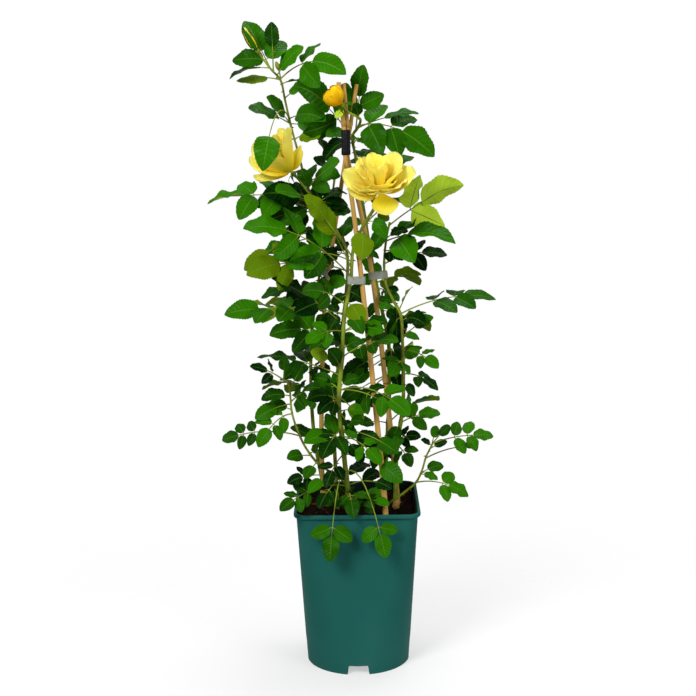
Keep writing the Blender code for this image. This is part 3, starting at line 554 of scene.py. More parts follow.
@dataclass(frozen=True)
class Foliage(Finish):
    """Leaves with glossy tops, matt undersides and veins, green stems and brown thorns."""

    sheen: float = 0.03
    relief: float = 0.00028
    # the dark end of the leaf tints: a dark leaf tone, darkened further as painted shade
    dark_and_shaded_green: Colour = (0.0, 0.013, 0.001)
    fresh: Colour = (0.03, 0.175, 0.0)
    under: Colour = (0.13, 0.2, 0.001)
    pale_under: Colour = (0.5, 0.72, 0.04)
    vein: Colour = (0.13, 0.3, 0.03)
    stem: Colour = (0.25, 0.34, 0.03)
    old_stem: Colour = (0.1, 0.12, 0.016)
    thorn: Colour = (0.2, 0.07, 0.015)
    mottle: Grain = Grain(42.0)
    bark: Grain = Grain(38.0, 4.0)
    shade: tuple = (0.95, 0.45, -0.22)  # weights of tint and mottle
    rough: tuple = (0.12, 0.35, 0.2)  # weights of mottle and underside
    bark_rough: float = 0.5
    pairs: float = 8.0  # side veins along a leaflet
    sweep: float = 0.2  # how far they lean to the tip
    side_vein: Span = (0.86, 1.0)  # from flank to crest
    side_strength: float = 0.35  # against the midrib's
    margin: Span = (0.7, 1.0)  # side veins fade over this share of the half width
    midrib: Span = (0.015, 0.075)  # from crest to flank, in half widths
    vein_mix: Span = (0.4, 0.5)  # how strong its colour is on top and below
    under_mottle: float = 0.5
    pale_tints: Span = (0.5, 0.9)  # leaves between these tints turn pale below
    aged: Span = (0.35, 0.7)
    cushion: Span = (0.2, 1.0)  # the blade swells between side veins
    turned_relief: float = 1.7  # below, the veins stand out instead

    def inputs(self, wires: Wires) -> dict[str, object]:
        """Side veins sweep from the midrib to the tip; each leaflet has its own tint, whose dark
        end is partly painted shade.
        """
        across, along = wires.pattern()
        tint, below, wood, special = wires.marks()
        mottle = wires.noise(self.mottle)
        off = abs(across - MIDDLE) * 2.0
        waves = ((along - off * self.sweep) * self.pairs).math("FRACT")
        ridge = abs(waves - 0.5) * 2.0
        side_vein = ridge.within(self.side_vein) * (1.0 - off.within(self.margin))
        midrib = 1.0 - off.within(self.midrib)
        veins = (side_vein * self.side_strength).math("MAXIMUM", midrib)
        # each leaf's tint blends from the near-black green, partly painted shade, to fresh green
        top = wires.blend(self.dark_and_shaded_green, self.fresh, wires.shades(self.shade, tint, mottle))
        top = wires.blend(top, self.vein, veins * self.vein_mix[0])
        under = wires.blend(self.under, self.fresh, mottle * self.under_mottle)
        under = wires.blend(under, self.pale_under, tint.within(self.pale_tints))
        under = wires.blend(under, self.vein, veins * self.vein_mix[1])
        bark = wires.blend(self.stem, self.old_stem, wires.noise(self.bark).within(self.aged))
        colour = wires.blend(wires.blend(top, under, below),
                             wires.blend(bark, self.thorn, special), wood)
        height = (ridge.within(self.cushion) * -1.0 - midrib) * (1.0 - wood)
        rough = weighed(self.rough, mottle, below) * (1.0 - wood) + wood * self.bark_rough
        height = height * (1.0 - below * self.turned_relief)
        return {"Base_Color": colour, "Roughness": rough,
                "Normal": wires.bump(height, self.relief)}


@dataclass(frozen=True)
class Petal(Finish):
    """Rose petals, deeper in colour near their root, with fine rays."""

    sheen: float = 0.01
    relief: float = 0.0003
    pale: Colour = (1.0, 0.86, 0.17)
    warm: Colour = (1.0, 0.7, 0.015)
    glow: float = 0.55
    spread: Colour = (1.0, 0.7, 0.1)  # how far each colour travels inside a petal
    depth: float = 0.006  # the scale of that, in metres
    rays: Grain = Grain(1.0, 3.0, (30.0, 3.0, 1.0))
    light: tuple = (0.8, 0.6, 0.2, -0.4)  # weights of the way along, tint and rays
    hollow: float = 0.2  # what the way out adds to the relief
    rough: tuple = (0.1, 0.55)  # weight of the rays

    def inputs(self, wires: Wires) -> dict[str, object]:
        """The colour runs from warm at the root to pale at the rim, by each petal's tint."""
        across, along = wires.pattern()
        tint, *_ = wires.marks()
        rays = wires.noise(self.rays, wires.uv())
        colour = wires.blend(self.warm, self.pale, wires.shades(self.light, along, tint, rays))
        height = rays + abs(across - MIDDLE) * self.hollow
        return {"Base_Color": colour, "Roughness": weighed(self.rough, rays),
                "Normal": wires.bump(height, self.relief), "Subsurface_Weight": self.glow,
                "Subsurface_Scale": self.depth, "Subsurface_Radius": self.spread}


@dataclass(frozen=True)
class PotPlastic(Finish):
    """Dark teal moulded plastic with a satin skin, faint flow marks and a little soil dust."""

    sheen: float = 0.03
    relief: float = 0.0003
    colour: Colour = (0.0125, 0.104, 0.088)
    worn: Colour = (0.0165, 0.118, 0.1)
    dust: Colour = (0.1, 0.085, 0.06)
    # painted shade: the colour of the pot's inside, nearly black
    painted_inside_shade: Colour = (0.006, 0.007, 0.006)
    flow: Grain = Grain(9.0, 2.0)
    scuffs: Grain = Grain(60.0, 6.0, (1.0, 1.0, 0.12))
    grime: Grain = Grain(45.0, 5.0)
    skin: Grain = Grain(1400.0, 2.0)
    skin_relief: float = 0.5  # against that of the flow marks
    wear: Span = (0.35, 0.75)
    dusty: Span = (0.0, 0.05)  # heights over which the dust fades, in metres
    spots: Span = (0.5, 0.8)
    dust_mix: float = 0.25
    soil_mix: float = 0.9
    rough: tuple = (0.16, 0.36)  # weight of the scuffs

    def inputs(self, wires: Wires) -> dict[str, object]:
        """Broad soft mottling, fine scuffs, dust low down, and the inside painted near-black as
        shade.
        """
        _, inside, *_ = wires.marks()
        flow = wires.noise(self.flow)
        height = wires.node("ShaderNodeSeparateXYZ", {}, {0: wires.place()}, 2)
        colour = wires.blend(self.colour, self.worn, flow.within(self.wear))
        low = (1.0 - height.within(self.dusty)) * wires.noise(self.grime).within(self.spots)
        colour = wires.blend(colour, self.dust, low * self.dust_mix)
        # the inside faces above the soil get the painted shade
        colour = wires.blend(colour, self.painted_inside_shade, inside * self.soil_mix)
        relief = wires.noise(self.skin) * self.skin_relief + flow
        return {"Base_Color": colour, "Normal": wires.bump(relief, self.relief),
                "Roughness": weighed(self.rough, wires.noise(self.scuffs))}


@dataclass(frozen=True)
class Soil(Finish):
    """Damp potting soil with bark chips."""

    relief: float = 0.002
    wet: Colour = (0.003, 0.0015, 0.001)
    dry: Colour = (0.02, 0.009, 0.005)
    bark: Colour = (0.16, 0.04, 0.014)
    cut_wood: Colour = (0.45, 0.25, 0.08)
    grains: Grain = Grain(420.0, 6.0)
    chip_grain: Grain = Grain(700.0, 4.0, (1.0, 1.0, 0.3))
    shade: tuple = (0.9, 0.5, -0.2)  # weights of grains and tint
    rough: tuple = (0.2, 0.75)  # weight of the grains

    def inputs(self, wires: Wires) -> dict[str, object]:
        """Crumbs vary in shade by their tint; chips are red-brown, and cut wood is tan."""
        tint, _, wood, special = wires.marks()
        grains = wires.noise(self.grains)
        colour = wires.blend(self.wet, self.dry, wires.shades(self.shade, grains, tint))
        chip = wires.blend(self.bark, self.dry, wires.noise(self.chip_grain))
        colour = wires.blend(colour, chip, special)
        colour = wires.blend(colour, self.cut_wood, wood)
        return {"Base_Color": colour, "Roughness": weighed(self.rough, grains),
                "Normal": wires.bump(grains, self.relief)}


@dataclass(frozen=True)
class Bamboo(Finish):
    """Dry bamboo: long fibres, soft blotches, dark scars at the knots and painted shade down the
    cut hollow.
    """

    relief: float = 0.0008
    pale: Colour = (0.66, 0.42, 0.12)
    warm: Colour = (0.42, 0.22, 0.035)
    # dark scars at the knots, and also the painted shade down inside the hollow top
    scar: Colour = (0.1, 0.045, 0.015)
    fibres: Grain = Grain(1.0, 5.0, (26.0, 2.6, 1.0))
    blotches: Grain = Grain(16.0, 3.0, (1.0, 1.0, 0.5))
    shade: tuple = (0.8, 0.9, 0.5, -0.72)  # weights of fibres, blotches and tint
    scar_and_shade_mix: float = 0.75
    rough: tuple = (0.25, 0.4)  # weight of the fibres

    def inputs(self, wires: Wires) -> dict[str, object]:
        """Fibres are noise that is stretched along the cane; knots and the hollow's painted shade
        come from the marks.
        """
        tint, _, _, special = wires.marks()
        fibres = wires.noise(self.fibres, wires.uv())
        shade = wires.shades(self.shade, fibres, wires.noise(self.blotches), tint)
        colour = wires.blend(self.pale, self.warm, shade)
        # the special mark paints both the knots' scars and the shade in the hollow
        colour = wires.blend(colour, self.scar, special * self.scar_and_shade_mix)
        return {"Base_Color": colour, "Roughness": weighed(self.rough, fibres),
                "Normal": wires.bump(fibres, self.relief)}


@dataclass(frozen=True)
class Tape(Finish):
    """Thin tape: black for the band at the top, pale grey for the ties."""

    sheen: float = 0.1
    relief: float = 0.0006
    colour: Colour = (0.34, 0.36, 0.3)
    shade: Colour = (0.2, 0.23, 0.17)
    rough: float = 0.42
    creased: float = 0.15  # what the creases add to that
    creases: Grain = Grain(240.0, 4.0, (1.0, 1.0, 2.4))
    fading: Grain = Grain(90.0)
    faded: Span = (0.4, 0.75)

    def inputs(self, wires: Wires) -> dict[str, object]:
        """Creases across the tape and a slightly uneven colour."""
        creases = wires.noise(self.creases)
        colour = wires.blend(self.colour, self.shade, wires.noise(self.fading).within(self.faded))
        return {"Base_Color": colour, "Roughness": self.rough + creases * self.creased,
                "Normal": wires.bump(creases, self.relief)}


@dataclass(frozen=True)
class StudioFloor(Finish):
    """A pale floor that fades out into the pale room."""

    sheen: float = 0.1
    colour: Colour = (0.95, 0.95, 0.95)
    reach: float = 1.2
    fade: Span = (0.1, 0.84)  # from where to where, in metres
    cover: float = 0.5
    rough: float = 0.8

    def inputs(self, wires: Wires) -> dict[str, object]:
        """The floor is solid round the pot and clear at its edge, so it has no horizon."""
        away = wires.node("ShaderNodeVectorMath", {"operation": "LENGTH"}, {0: wires.place()},
                          "Value")
        return {"Base_Color": self.colour, "Roughness": self.rough,
                "Alpha": (1.0 - away.within(self.fade)) * self.cover}


# The pot and its soil

POT_HEIGHT = 250.0
RIM_WIDTH = 185.0
RIM_CORNER = 20.0
RIM_BAND = 6.5
RIM_STEP = 4.0
WALL_TOP = POT_HEIGHT - RIM_BAND
FOOT_WIDTH = 156.0
FOOT_CORNER = 77.0
WALL = 2.2
FLOOR_UNDERSIDE = 14.0
FLOOR_TOP = FLOOR_UNDERSIDE + 2.4

# Degrees round each corner. The notches' edges lie on the second and third, from either end.
CORNER_STEPS = (0.0, 10.1, 11.6, 17.0, 23.5, 30.0, 37.5, 45.0, 52.5, 60.0, 66.5, 73.0, 78.4, 79.9,
                90.0)
SIDE_STEPS = 7

# The rim's section, as inset and rise, from the wall outside over the top to the wall inside.
INNER_EDGE = (RIM_STEP, RIM_BAND)
RIM_SECTION = ((RIM_STEP - 0.9, 0.2), (0.9, 0.5), (0.25, 1.2), (0.0, 2.0), (0.0, 5.0), (0.4, 6.0),
               (1.1, 6.4), (2.0, RIM_BAND), INNER_EDGE, (RIM_STEP + 0.7, 6.1),
               (RIM_STEP + 1.2, 5.0))


def square_ring(half: float, corner: float, height: float) -> Array:
    """A ring round a square of a half width, whose corners are quarter circles.

    Args:
        half: half the square's width.
        corner: radius of its corners.
        height: where it lies.

    Returns:
        Its points, with more of them along each side.
    """
    quarter = np.radians(CORNER_STEPS)
    bend = np.column_stack([np.cos(quarter), np.sin(quarter)]) * corner + (half - corner)
    share = np.linspace(0, 1, SIDE_STEPS + 1)[1:-1, None]
    side = bend[-1] * (1 - share) + bend[-1] * (-1, 1) * share
    return at_height(np.vstack(quarters(np.vstack([bend, side]))), height)


def pot_ring(height: float, inset: float) -> Array:
    """The ring of the pot's outer wall at a height, moved inwards by the inset."""
    share = height / WALL_TOP
    half = FOOT_WIDTH / 2 + share * (RIM_WIDTH / 2 - RIM_STEP - FOOT_WIDTH / 2)
    corner = FOOT_CORNER + share * (RIM_CORNER - RIM_STEP - FOOT_CORNER)
    return square_ring(half - inset, corner - inset, height)


@dataclass
class NurseryPot:
    """The moulded pot: skirt with four notches, raised floor, wall and rolled rim."""

    notch_width: float = 33.0
    notch_slope: float = 2.0
    notch_height: float = 13.4
    skirt: float = 40.0  # the notches lift the wall's rows up to here
    skirt_rows: int = 7
    wall_rows: int = 12
    drain_width: float = 13.0
    drain_ring: float = 44.0  # from the pot's axis to a hole's
    floor_reach: float = FOOT_WIDTH / 2 - WALL + 1.02  # its edge lies inside the wall
    floor_sides: int = 48
    finish: Finish = PotPlastic("satin_pot_plastic")

    def notched(self, rings: Array) -> Array:
        """Lift the lowest rows over the notches.

        A column that meets the ground closer to a notch's middle than half its width rises to
        the notch's top, over the notch's slope. Rows above it share what is left of the skirt.

        Args:
            rings: the wall's rings, from the ground up.

        Returns:
            The rings with their new heights.
        """
        beside = np.abs(rings[0, :, :2]).min(axis=1)
        edge = self.notch_width / 2
        lift = self.notch_height * np.clip((edge - beside) / self.notch_slope, 0, 1)
        lifted = rings.copy()
        lifted[..., 2] += lift * np.clip(1 - rings[..., 2] / self.skirt, 0, 1)
        return lifted

    def build(self) -> Surface:
        """The wall is one closed band of rings: up its outside, over the rim and down again."""
        heights = np.concatenate([np.linspace(0, self.skirt, self.skirt_rows),
                                  np.linspace(self.skirt, WALL_TOP, self.wall_rows)[1:]])
        outside = [pot_ring(height, 0.0) for height in heights]
        rim = [square_ring(RIM_WIDTH / 2 - inset, RIM_CORNER - inset, WALL_TOP + rise)
               for inset, rise in RIM_SECTION]
        inside = [pot_ring(height, WALL) for height in heights[::-1]]
        wall = band(self.notched(np.stack(outside + rim + inside)))
        # the inside faces, from the rim's inner edge down, are marked for the painted shade
        inner = (len(outside) + RIM_SECTION.index(INNER_EDGE)) * len(outside[0])
        wall.quad_marks[inner:] = (MIDDLE, *Mark.UNDER.value)
        return Surface.joined([wall, *self.floor()])

    def floor(self) -> list[Surface]:
        """The floor, in quarters that each reach from a drain hole to the quarter's outline.

        Along every spoke of the hole the outline is the nearest of the two straight cuts through
        the pot's axis and the circle in the wall.

        Returns:
            Four closed plates.
        """
        spokes = circle(self.floor_sides)
        middle = self.drain_ring / math.sqrt(2)
        cuts = middle / np.maximum(-spokes, TINY)
        outward = spokes @ (middle, middle)
        wall = -outward + np.sqrt(outward ** 2 - self.drain_ring ** 2 + self.floor_reach ** 2)
        reach = np.minimum(cuts.min(axis=1), wall)
        hole = quarters(spokes * self.drain_width / 2 + middle)
        outline = quarters(spokes * reach[:, None] + middle)
        return [band(np.stack([at_height(near, FLOOR_UNDERSIDE), at_height(far, FLOOR_UNDERSIDE),
                               at_height(far, FLOOR_TOP), at_height(near, FLOOR_TOP)]))
                for near, far in zip(hole, outline)]

    def dress(self) -> None:
        """Make the piece."""
        self.build().piece("nursery_pot", self.finish, "pot_plastic", "pot")


@dataclass(frozen=True)
class Grit:
    """Crumbs or chips: how many, their smallest and largest half sizes, their seed and mark."""

    count: int
    low: Point
    high: Point
    seed: int
    mark: Mark


@dataclass
class PottingSoil:
    """Soil that fills the pot, with crumbs and bark chips on it."""

    top: float = 235.0
    relief: float = 2.2
    waves: tuple = ((0.6, 42.0, 3), (0.35, 13.0, 4), (0.25, 5.5, 5))  # share, size and seed
    gap: float = 0.3  # between the soil and the pot
    sink: float = 2.0  # how far it drops at the wall
    rows: int = 34
    crowding: float = 1.15  # above 1, rows lie closer at the wall
    inmost: float = 0.985  # the last row's place on the way to the middle
    edge: float = 0.95  # the soil drops outside this share of its width
    tint: float = 0.4
    spread: float = 82.0  # grit lies as far out as this
    grit: tuple[Grit, ...] = (Grit(520, (0.9, 0.8, 0.6), (2.6, 2.2, 1.5), 11, Mark.TOP),
                              Grit(90, (2.4, 0.9, 0.4), (7.0, 2.2, 0.9), 12, Mark.CHIP))
    lump: tuple = ((0.75, -0.6, 0.0), (1.0, 0.05, 0.4), (0.7, 0.62, 0.1))  # width, rise, turn
    lump_sides: int = 6
    lump_change: Span = (0.8, 1.2)
    lump_lean: float = 0.35
    lump_lift: Span = (0.1, 0.5)  # in the smallest and the largest half height
    stub: tuple = ((58.0, -12.0, 238.0), (59.5, -13.0, 246.0), (60.5, -13.5, 249.0))
    stub_radii: tuple = (5.5, 5.0, 3.2)
    stub_sides: int = 10
    finish: Finish = Soil("potting_soil")

    def height(self, spots: Array) -> Array:
        """The soil's height at points: broad, middle and fine ripples over a level."""
        flat = spots * (1.0, 1.0, 0.0)
        return self.top + self.relief * sum(share * ripple(flat, size, seed)
                                            for share, size, seed in self.waves)

    def lumps(self, grit: Grit) -> Surface:
        """Small stones of six sides, each stretched, turned and laid on the soil."""
        dice = np.random.default_rng(grit.seed)
        shape = lathe(np.stack([at_height(circle(self.lump_sides, turn) * wide, rise)
                                for wide, rise, turn in self.lump]), MIDDLE, grit.mark)
        body = shape.points * dice.uniform(*self.lump_change, (grit.count, len(shape.points), 1))
        body = body * dice.uniform(grit.low, grit.high, (grit.count, 3))[:, None]
        spin = dice.uniform(0, 2 * np.pi, (grit.count, 1))
        lean = dice.normal(0, self.lump_lean, (grit.count, 1))
        body = swung(swung(body, 1, 2, lean), 0, 1, spin)
        spots = dice.uniform(-1, 1, (grit.count, 3)) * (self.spread, self.spread, 0.0)
        low, high = grit.low[2] * self.lump_lift[0], grit.high[2] * self.lump_lift[1]
        spots[:, 2] = self.height(spots) + dice.uniform(low, high, grit.count)
        return copies(shape, body + spots[:, None], dice.uniform(0, 1, grit.count),
                      dice.uniform(0, 1, grit.count))

    def build(self) -> Surface:
        """Rings shrink from the pot's wall to the middle, at the soil's height."""
        edge = pot_ring(self.top, WALL + self.gap)
        rings = [pot_ring(FLOOR_TOP + self.gap, WALL + self.gap)]
        for share in 1.0 - np.linspace(0, self.inmost, self.rows) ** self.crowding:
            ring = edge * (share, share, 1.0)
            ring[:, 2] = self.height(ring) - np.interp(share, (self.edge, 1.0), (0.0, self.sink))
            rings.append(ring)
        stub = rod(np.array(self.stub), np.array(self.stub_radii), self.stub_sides)
        return Surface.joined([lathe(np.stack(rings), self.tint, Mark.TOP),
                               *map(self.lumps, self.grit), stub])

    def dress(self) -> None:
        """Make the piece."""
        self.build().piece("potting_soil", self.finish, "soil", "soil")


# Canes and tape

CANES = {
    "cane_middle": ((8.8, 6.2), ((43, -70, 100), (42, -69, 236), (27, -52, 412), (10, -28, 580),
                                 (-2, -13, 687), (-12, -6, 757), (-14, -5, 798), (-21, -5, 865))),
    "cane_right": ((8.8, 6.2), ((68, 23, 100), (62, 21, 236), (39, 16, 473), (23, 11, 602),
                                (8, 8, 685), (-9, 2, 757), (-9, 1, 798), (-14, 4, 863))),
    "cane_left": ((8.0, 5.6), ((-50, 54, 100), (-53, 51, 236), (-53, 46, 370), (-48, 38, 499),
                               (-40, 31, 583), (-8, 19, 783), (5, 15, 862))),
}


@dataclass
class BambooCane:
    """A cane with knots and a cut, hollow top."""

    name: str
    widths: tuple[float, float]
    route: tuple[Point, ...]
    step: float = 2.5
    knots: int = 4
    first_knot: float = 0.7  # its place, as a share of the way between knots
    knot_rise: float = 0.75
    knot_length: float = 2.6
    scar_drop: float = 2.2  # how far below its knot a scar lies
    scar_length: float = 1.3
    scar_depth: float = 0.35
    hollow: tuple = ((0.2, 0.86, 0.2), (0.4, 0.58, 0.9), (7.0, 0.5, 1.0))  # depth, width, painted shade
    tints: tuple[float, float] = (0.3, 0.45)  # at the foot and at the top
    sides: int = 14
    finish: Finish = Bamboo("dry_bamboo")

    def line(self) -> tuple[Array, Array, Array]:
        """The middle line, the radius there, and how near a knot's scar is."""
        path = smooth(self.route, self.step)
        along = lengths(path)
        knots = along[-1] * (np.arange(self.knots) + self.first_knot) / self.knots
        away = along[:, None] - knots
        swell = np.exp(-(away / self.knot_length) ** 2).max(axis=1)
        scar = np.exp(-((away + self.scar_drop) / self.scar_length) ** 2).max(axis=1)
        radii = np.interp(along, (0.0, along[-1]), self.widths) / 2
        return path, radii + self.knot_rise * swell - self.scar_depth * scar, scar

    def build(self) -> Surface:
        """Circles along the line; at the top they turn in and go down the hollow, painted dark as
        shade.
        """
        path, radii, scar = self.line()
        ways = directions(path)
        depths, shares, hollow_shades = np.array(self.hollow).T
        line = np.vstack([path, path[-1] - ways[-1] * depths[:, None]])
        made = rod(line, np.concatenate([radii, radii[-1] * shares]), self.sides, self.tints[0],
                   Mark.TOP, np.vstack([ways, np.tile(ways[-1], (len(depths), 1))]))
        made.quad_marks[:, 0] = np.repeat(np.linspace(*self.tints, len(line) - 1), self.sides)
        # knot scars, then painted shade that grows darker down the hollow
        made.quad_marks[:, 3] = np.repeat(np.concatenate([scar[1:], hollow_shades]), self.sides)
        return made

    def dress(self) -> None:
        """Make the piece."""
        self.build().piece("bamboo_" + self.name, self.finish, "bamboo", self.name)


@dataclass
class TapeLoop:
    """Tape pulled round two rods, wound several times."""

    name: str
    node: str
    slot: str
    finish: Finish
    height: float
    tall: float
    loose: float
    turns: int = 1
    wall: float = 0.8
    inner: float = 0.1  # from the loose fit to the tape's inner face
    lap: float = 0.35  # how far the outer face steps in between turns
    sharpness: int = 6  # of that step
    span: float = 15.0  # a rod's direction is read this far up and down
    sides: int = 40

    def crossing(self, rod_line: Rod, rise: float = 0.0) -> Array:
        """Where a rod passes the loop's height, or a rise above it."""
        path = rod_line[0]
        return between(path[:, 2], path, self.height + rise)

    def build(self, first: Rod, second: Rod) -> Surface:
        """A loop of two half circles, one round each rod, joined by straights.

        Its section is a strip whose outer face steps in a little at the edge of each turn.

        Args:
            first: a rod.
            second: the other one.

        Returns:
            The closed loop.
        """
        pair = (first, second)
        centres = [self.crossing(each) for each in pair]
        reach = [np.interp(self.height, path[:, 2], radii) + self.loose for path, radii in pair]
        axis = unit(sum(unit(self.crossing(each, self.span) - self.crossing(each, -self.span))
                        for each in pair))
        across = centres[1] - centres[0]
        across = unit(across - axis * (across @ axis))
        beside = np.cross(axis, across)
        spokes = circle(self.sides, math.pi / self.sides)
        left = spokes[:, :1] < 0
        middles = np.where(left, *(np.array((centre @ across, centre @ beside))
                                   for centre in centres))
        ground = (centres[0] + centres[1]) @ axis / 2
        rows = np.linspace(-0.5, 0.5, self.turns * 4 + 1)
        from_middle = np.abs((rows + 0.5) * self.turns % 1.0 - 0.5) * 2
        dips = self.lap * from_middle ** self.sharpness
        section = [(self.inner, side) for side in rows[::-1]]
        section += [(self.wall - dip, side) for dip, side in zip(dips, rows)]
        rings = []
        for wall, side in section:
            flat = middles + spokes * (np.where(left, *reach) + wall)
            rings.append(flat[:, :1] * across + flat[:, 1:] * beside
                         + axis * (ground + side * self.tall))
        return band(np.stack(rings))

    def dress(self, first: Rod, second: Rod) -> None:
        """Make the piece round two rods."""
        self.build(first, second).piece(self.name, self.finish, self.slot, self.node)


# Leaves and stems

ROLL = math.radians(13)  # how far blades usually roll about their own line
ARCH = (-0.02, 0.13)  # how far they arch, as a share of their length
FOLD_EASE = 0.35  # how much flatter a blade's fold is at the margin
TOOTH_POINT = 0.72  # where a tooth's point lies between its notches
POINT_WIDTH = 1.02  # the outline's width at the points
NOTCH_WIDTH = 0.965  # and at the notches
FIRST_ROW = 0.3  # in teeth
BLADE_THICKNESS = 0.5
MARGIN_HEIGHT = 3.0  # of its waves, against the blade's own number
MARGIN_WAVES = 2.2  # along a blade
MARGIN_SKEW = 0.9  # how far a wave runs ahead across the blade
MARGIN_PHASE = 2.4  # from blade to blade
STALK_RADII = (0.65, 0.6, 0.4, 0.12)
RIB = np.array((0.0, 0.4, 0.8))[:, None]  # places of the rib under a blade
RIB_DROP = 0.45


@dataclass
class Blade:
    """A leaflet or sepal: a quadratic curve from start to tip, and its form."""

    start: Array
    bend: Array
    tip: Array
    up: Array
    half: float
    tint: float
    fold: float
    wave: float

    def settled(self, dice: random.Random, turned: bool) -> "Blade":
        """The same blade, rolled a little, arched a little and perhaps underside up."""
        along = self.tip - self.start
        roll = dice.gauss(0.0, ROLL)
        up = self.up * math.cos(roll) + np.cross(unit(along), self.up) * math.sin(roll)
        bend = self.bend + up * np.linalg.norm(along) * dice.uniform(*ARCH)
        return replace(self, up=-up if turned else up, bend=bend)

    def stalk(self, foot: Array) -> Surface:
        """Its own short stalk, which runs on under the blade as a rib."""
        rib = arc(self.start, self.bend, self.tip, RIB) - self.up * (RIB > 0) * RIB_DROP
        return rod(np.vstack([foot, rib]), np.array(STALK_RADII), 4, self.tint)


class Outline(Enum):
    """Outlines of blades: powers of the share from root and tip, teeth, and points across."""

    ROUND = (0.55, 0.7, 8, 5)
    POINTED = (0.52, 0.8, 13, 7)
    SEPAL = (0.3, 1.3, 3, 5)


def grow_blades(blades: list[Blade], outline: Outline) -> Surface:
    """Leaf blades: the half width is a product of powers, with teeth that point to the tip.

    Across, a blade is folded up from its midrib, and its margins wave as a sine that grows with
    the square of the way out; along, it follows its curve. Rows lie at the point and at the
    notch of each tooth.

    Args:
        blades: what to grow.
        outline: their outline.

    Returns:
        All of them in one surface.
    """
    root_power, tip_power, teeth, columns = outline.value
    points = (np.arange(teeth) + TOOTH_POINT) / teeth
    notches = np.arange(1, teeth) / teeth
    rows = np.sort(np.concatenate([(0.0, FIRST_ROW / teeth), notches, points, (1.0,)]))
    peak = root_power / (root_power + tip_power)
    form = rows ** root_power * (1 - rows) ** tip_power
    form = form / (peak ** root_power * (1 - peak) ** tip_power)
    form = form * np.where(np.isin(rows, points), POINT_WIDTH, NOTCH_WIDTH)
    place = np.linspace(-1, 1, columns)

    def read(key: str) -> Array:
        """One field of all the blades, with an axis for the rows."""
        return np.array([getattr(blade, key) for blade in blades], float)[:, None]

    share = rows[None, :, None]
    curve = (read("start"), read("bend"), read("tip"), share)
    ahead = arc_way(*curve)
    up = read("up")
    up = unit(up - ahead * (up * ahead).sum(axis=-1, keepdims=True))
    side = np.cross(ahead, up)
    half, wave = read("half")[..., None], read("wave")[..., None]
    wide = (half * form[None, :, None]) * place
    phase = np.arange(len(blades))[:, None, None] * MARGIN_PHASE + place * MARGIN_SKEW
    curl = (wave * half * MARGIN_HEIGHT * place ** 2
            * np.sin(2 * np.pi * MARGIN_WAVES * share + phase))
    rise = (read("fold")[..., None] * np.abs(wide) * (1 - FOLD_EASE * np.abs(place))
            + curl * form[None, :, None])
    top = (arc(*curve)[:, :, None] + side[:, :, None] * wide[..., None]
           + up[:, :, None] * rise[..., None])
    pattern = np.stack(np.broadcast_arrays((place[None] + 1) / 2, rows[:, None]), axis=-1)
    return sheets(top, top - up[:, :, None] * BLADE_THICKNESS, pattern, read("tint")[:, 0], True)


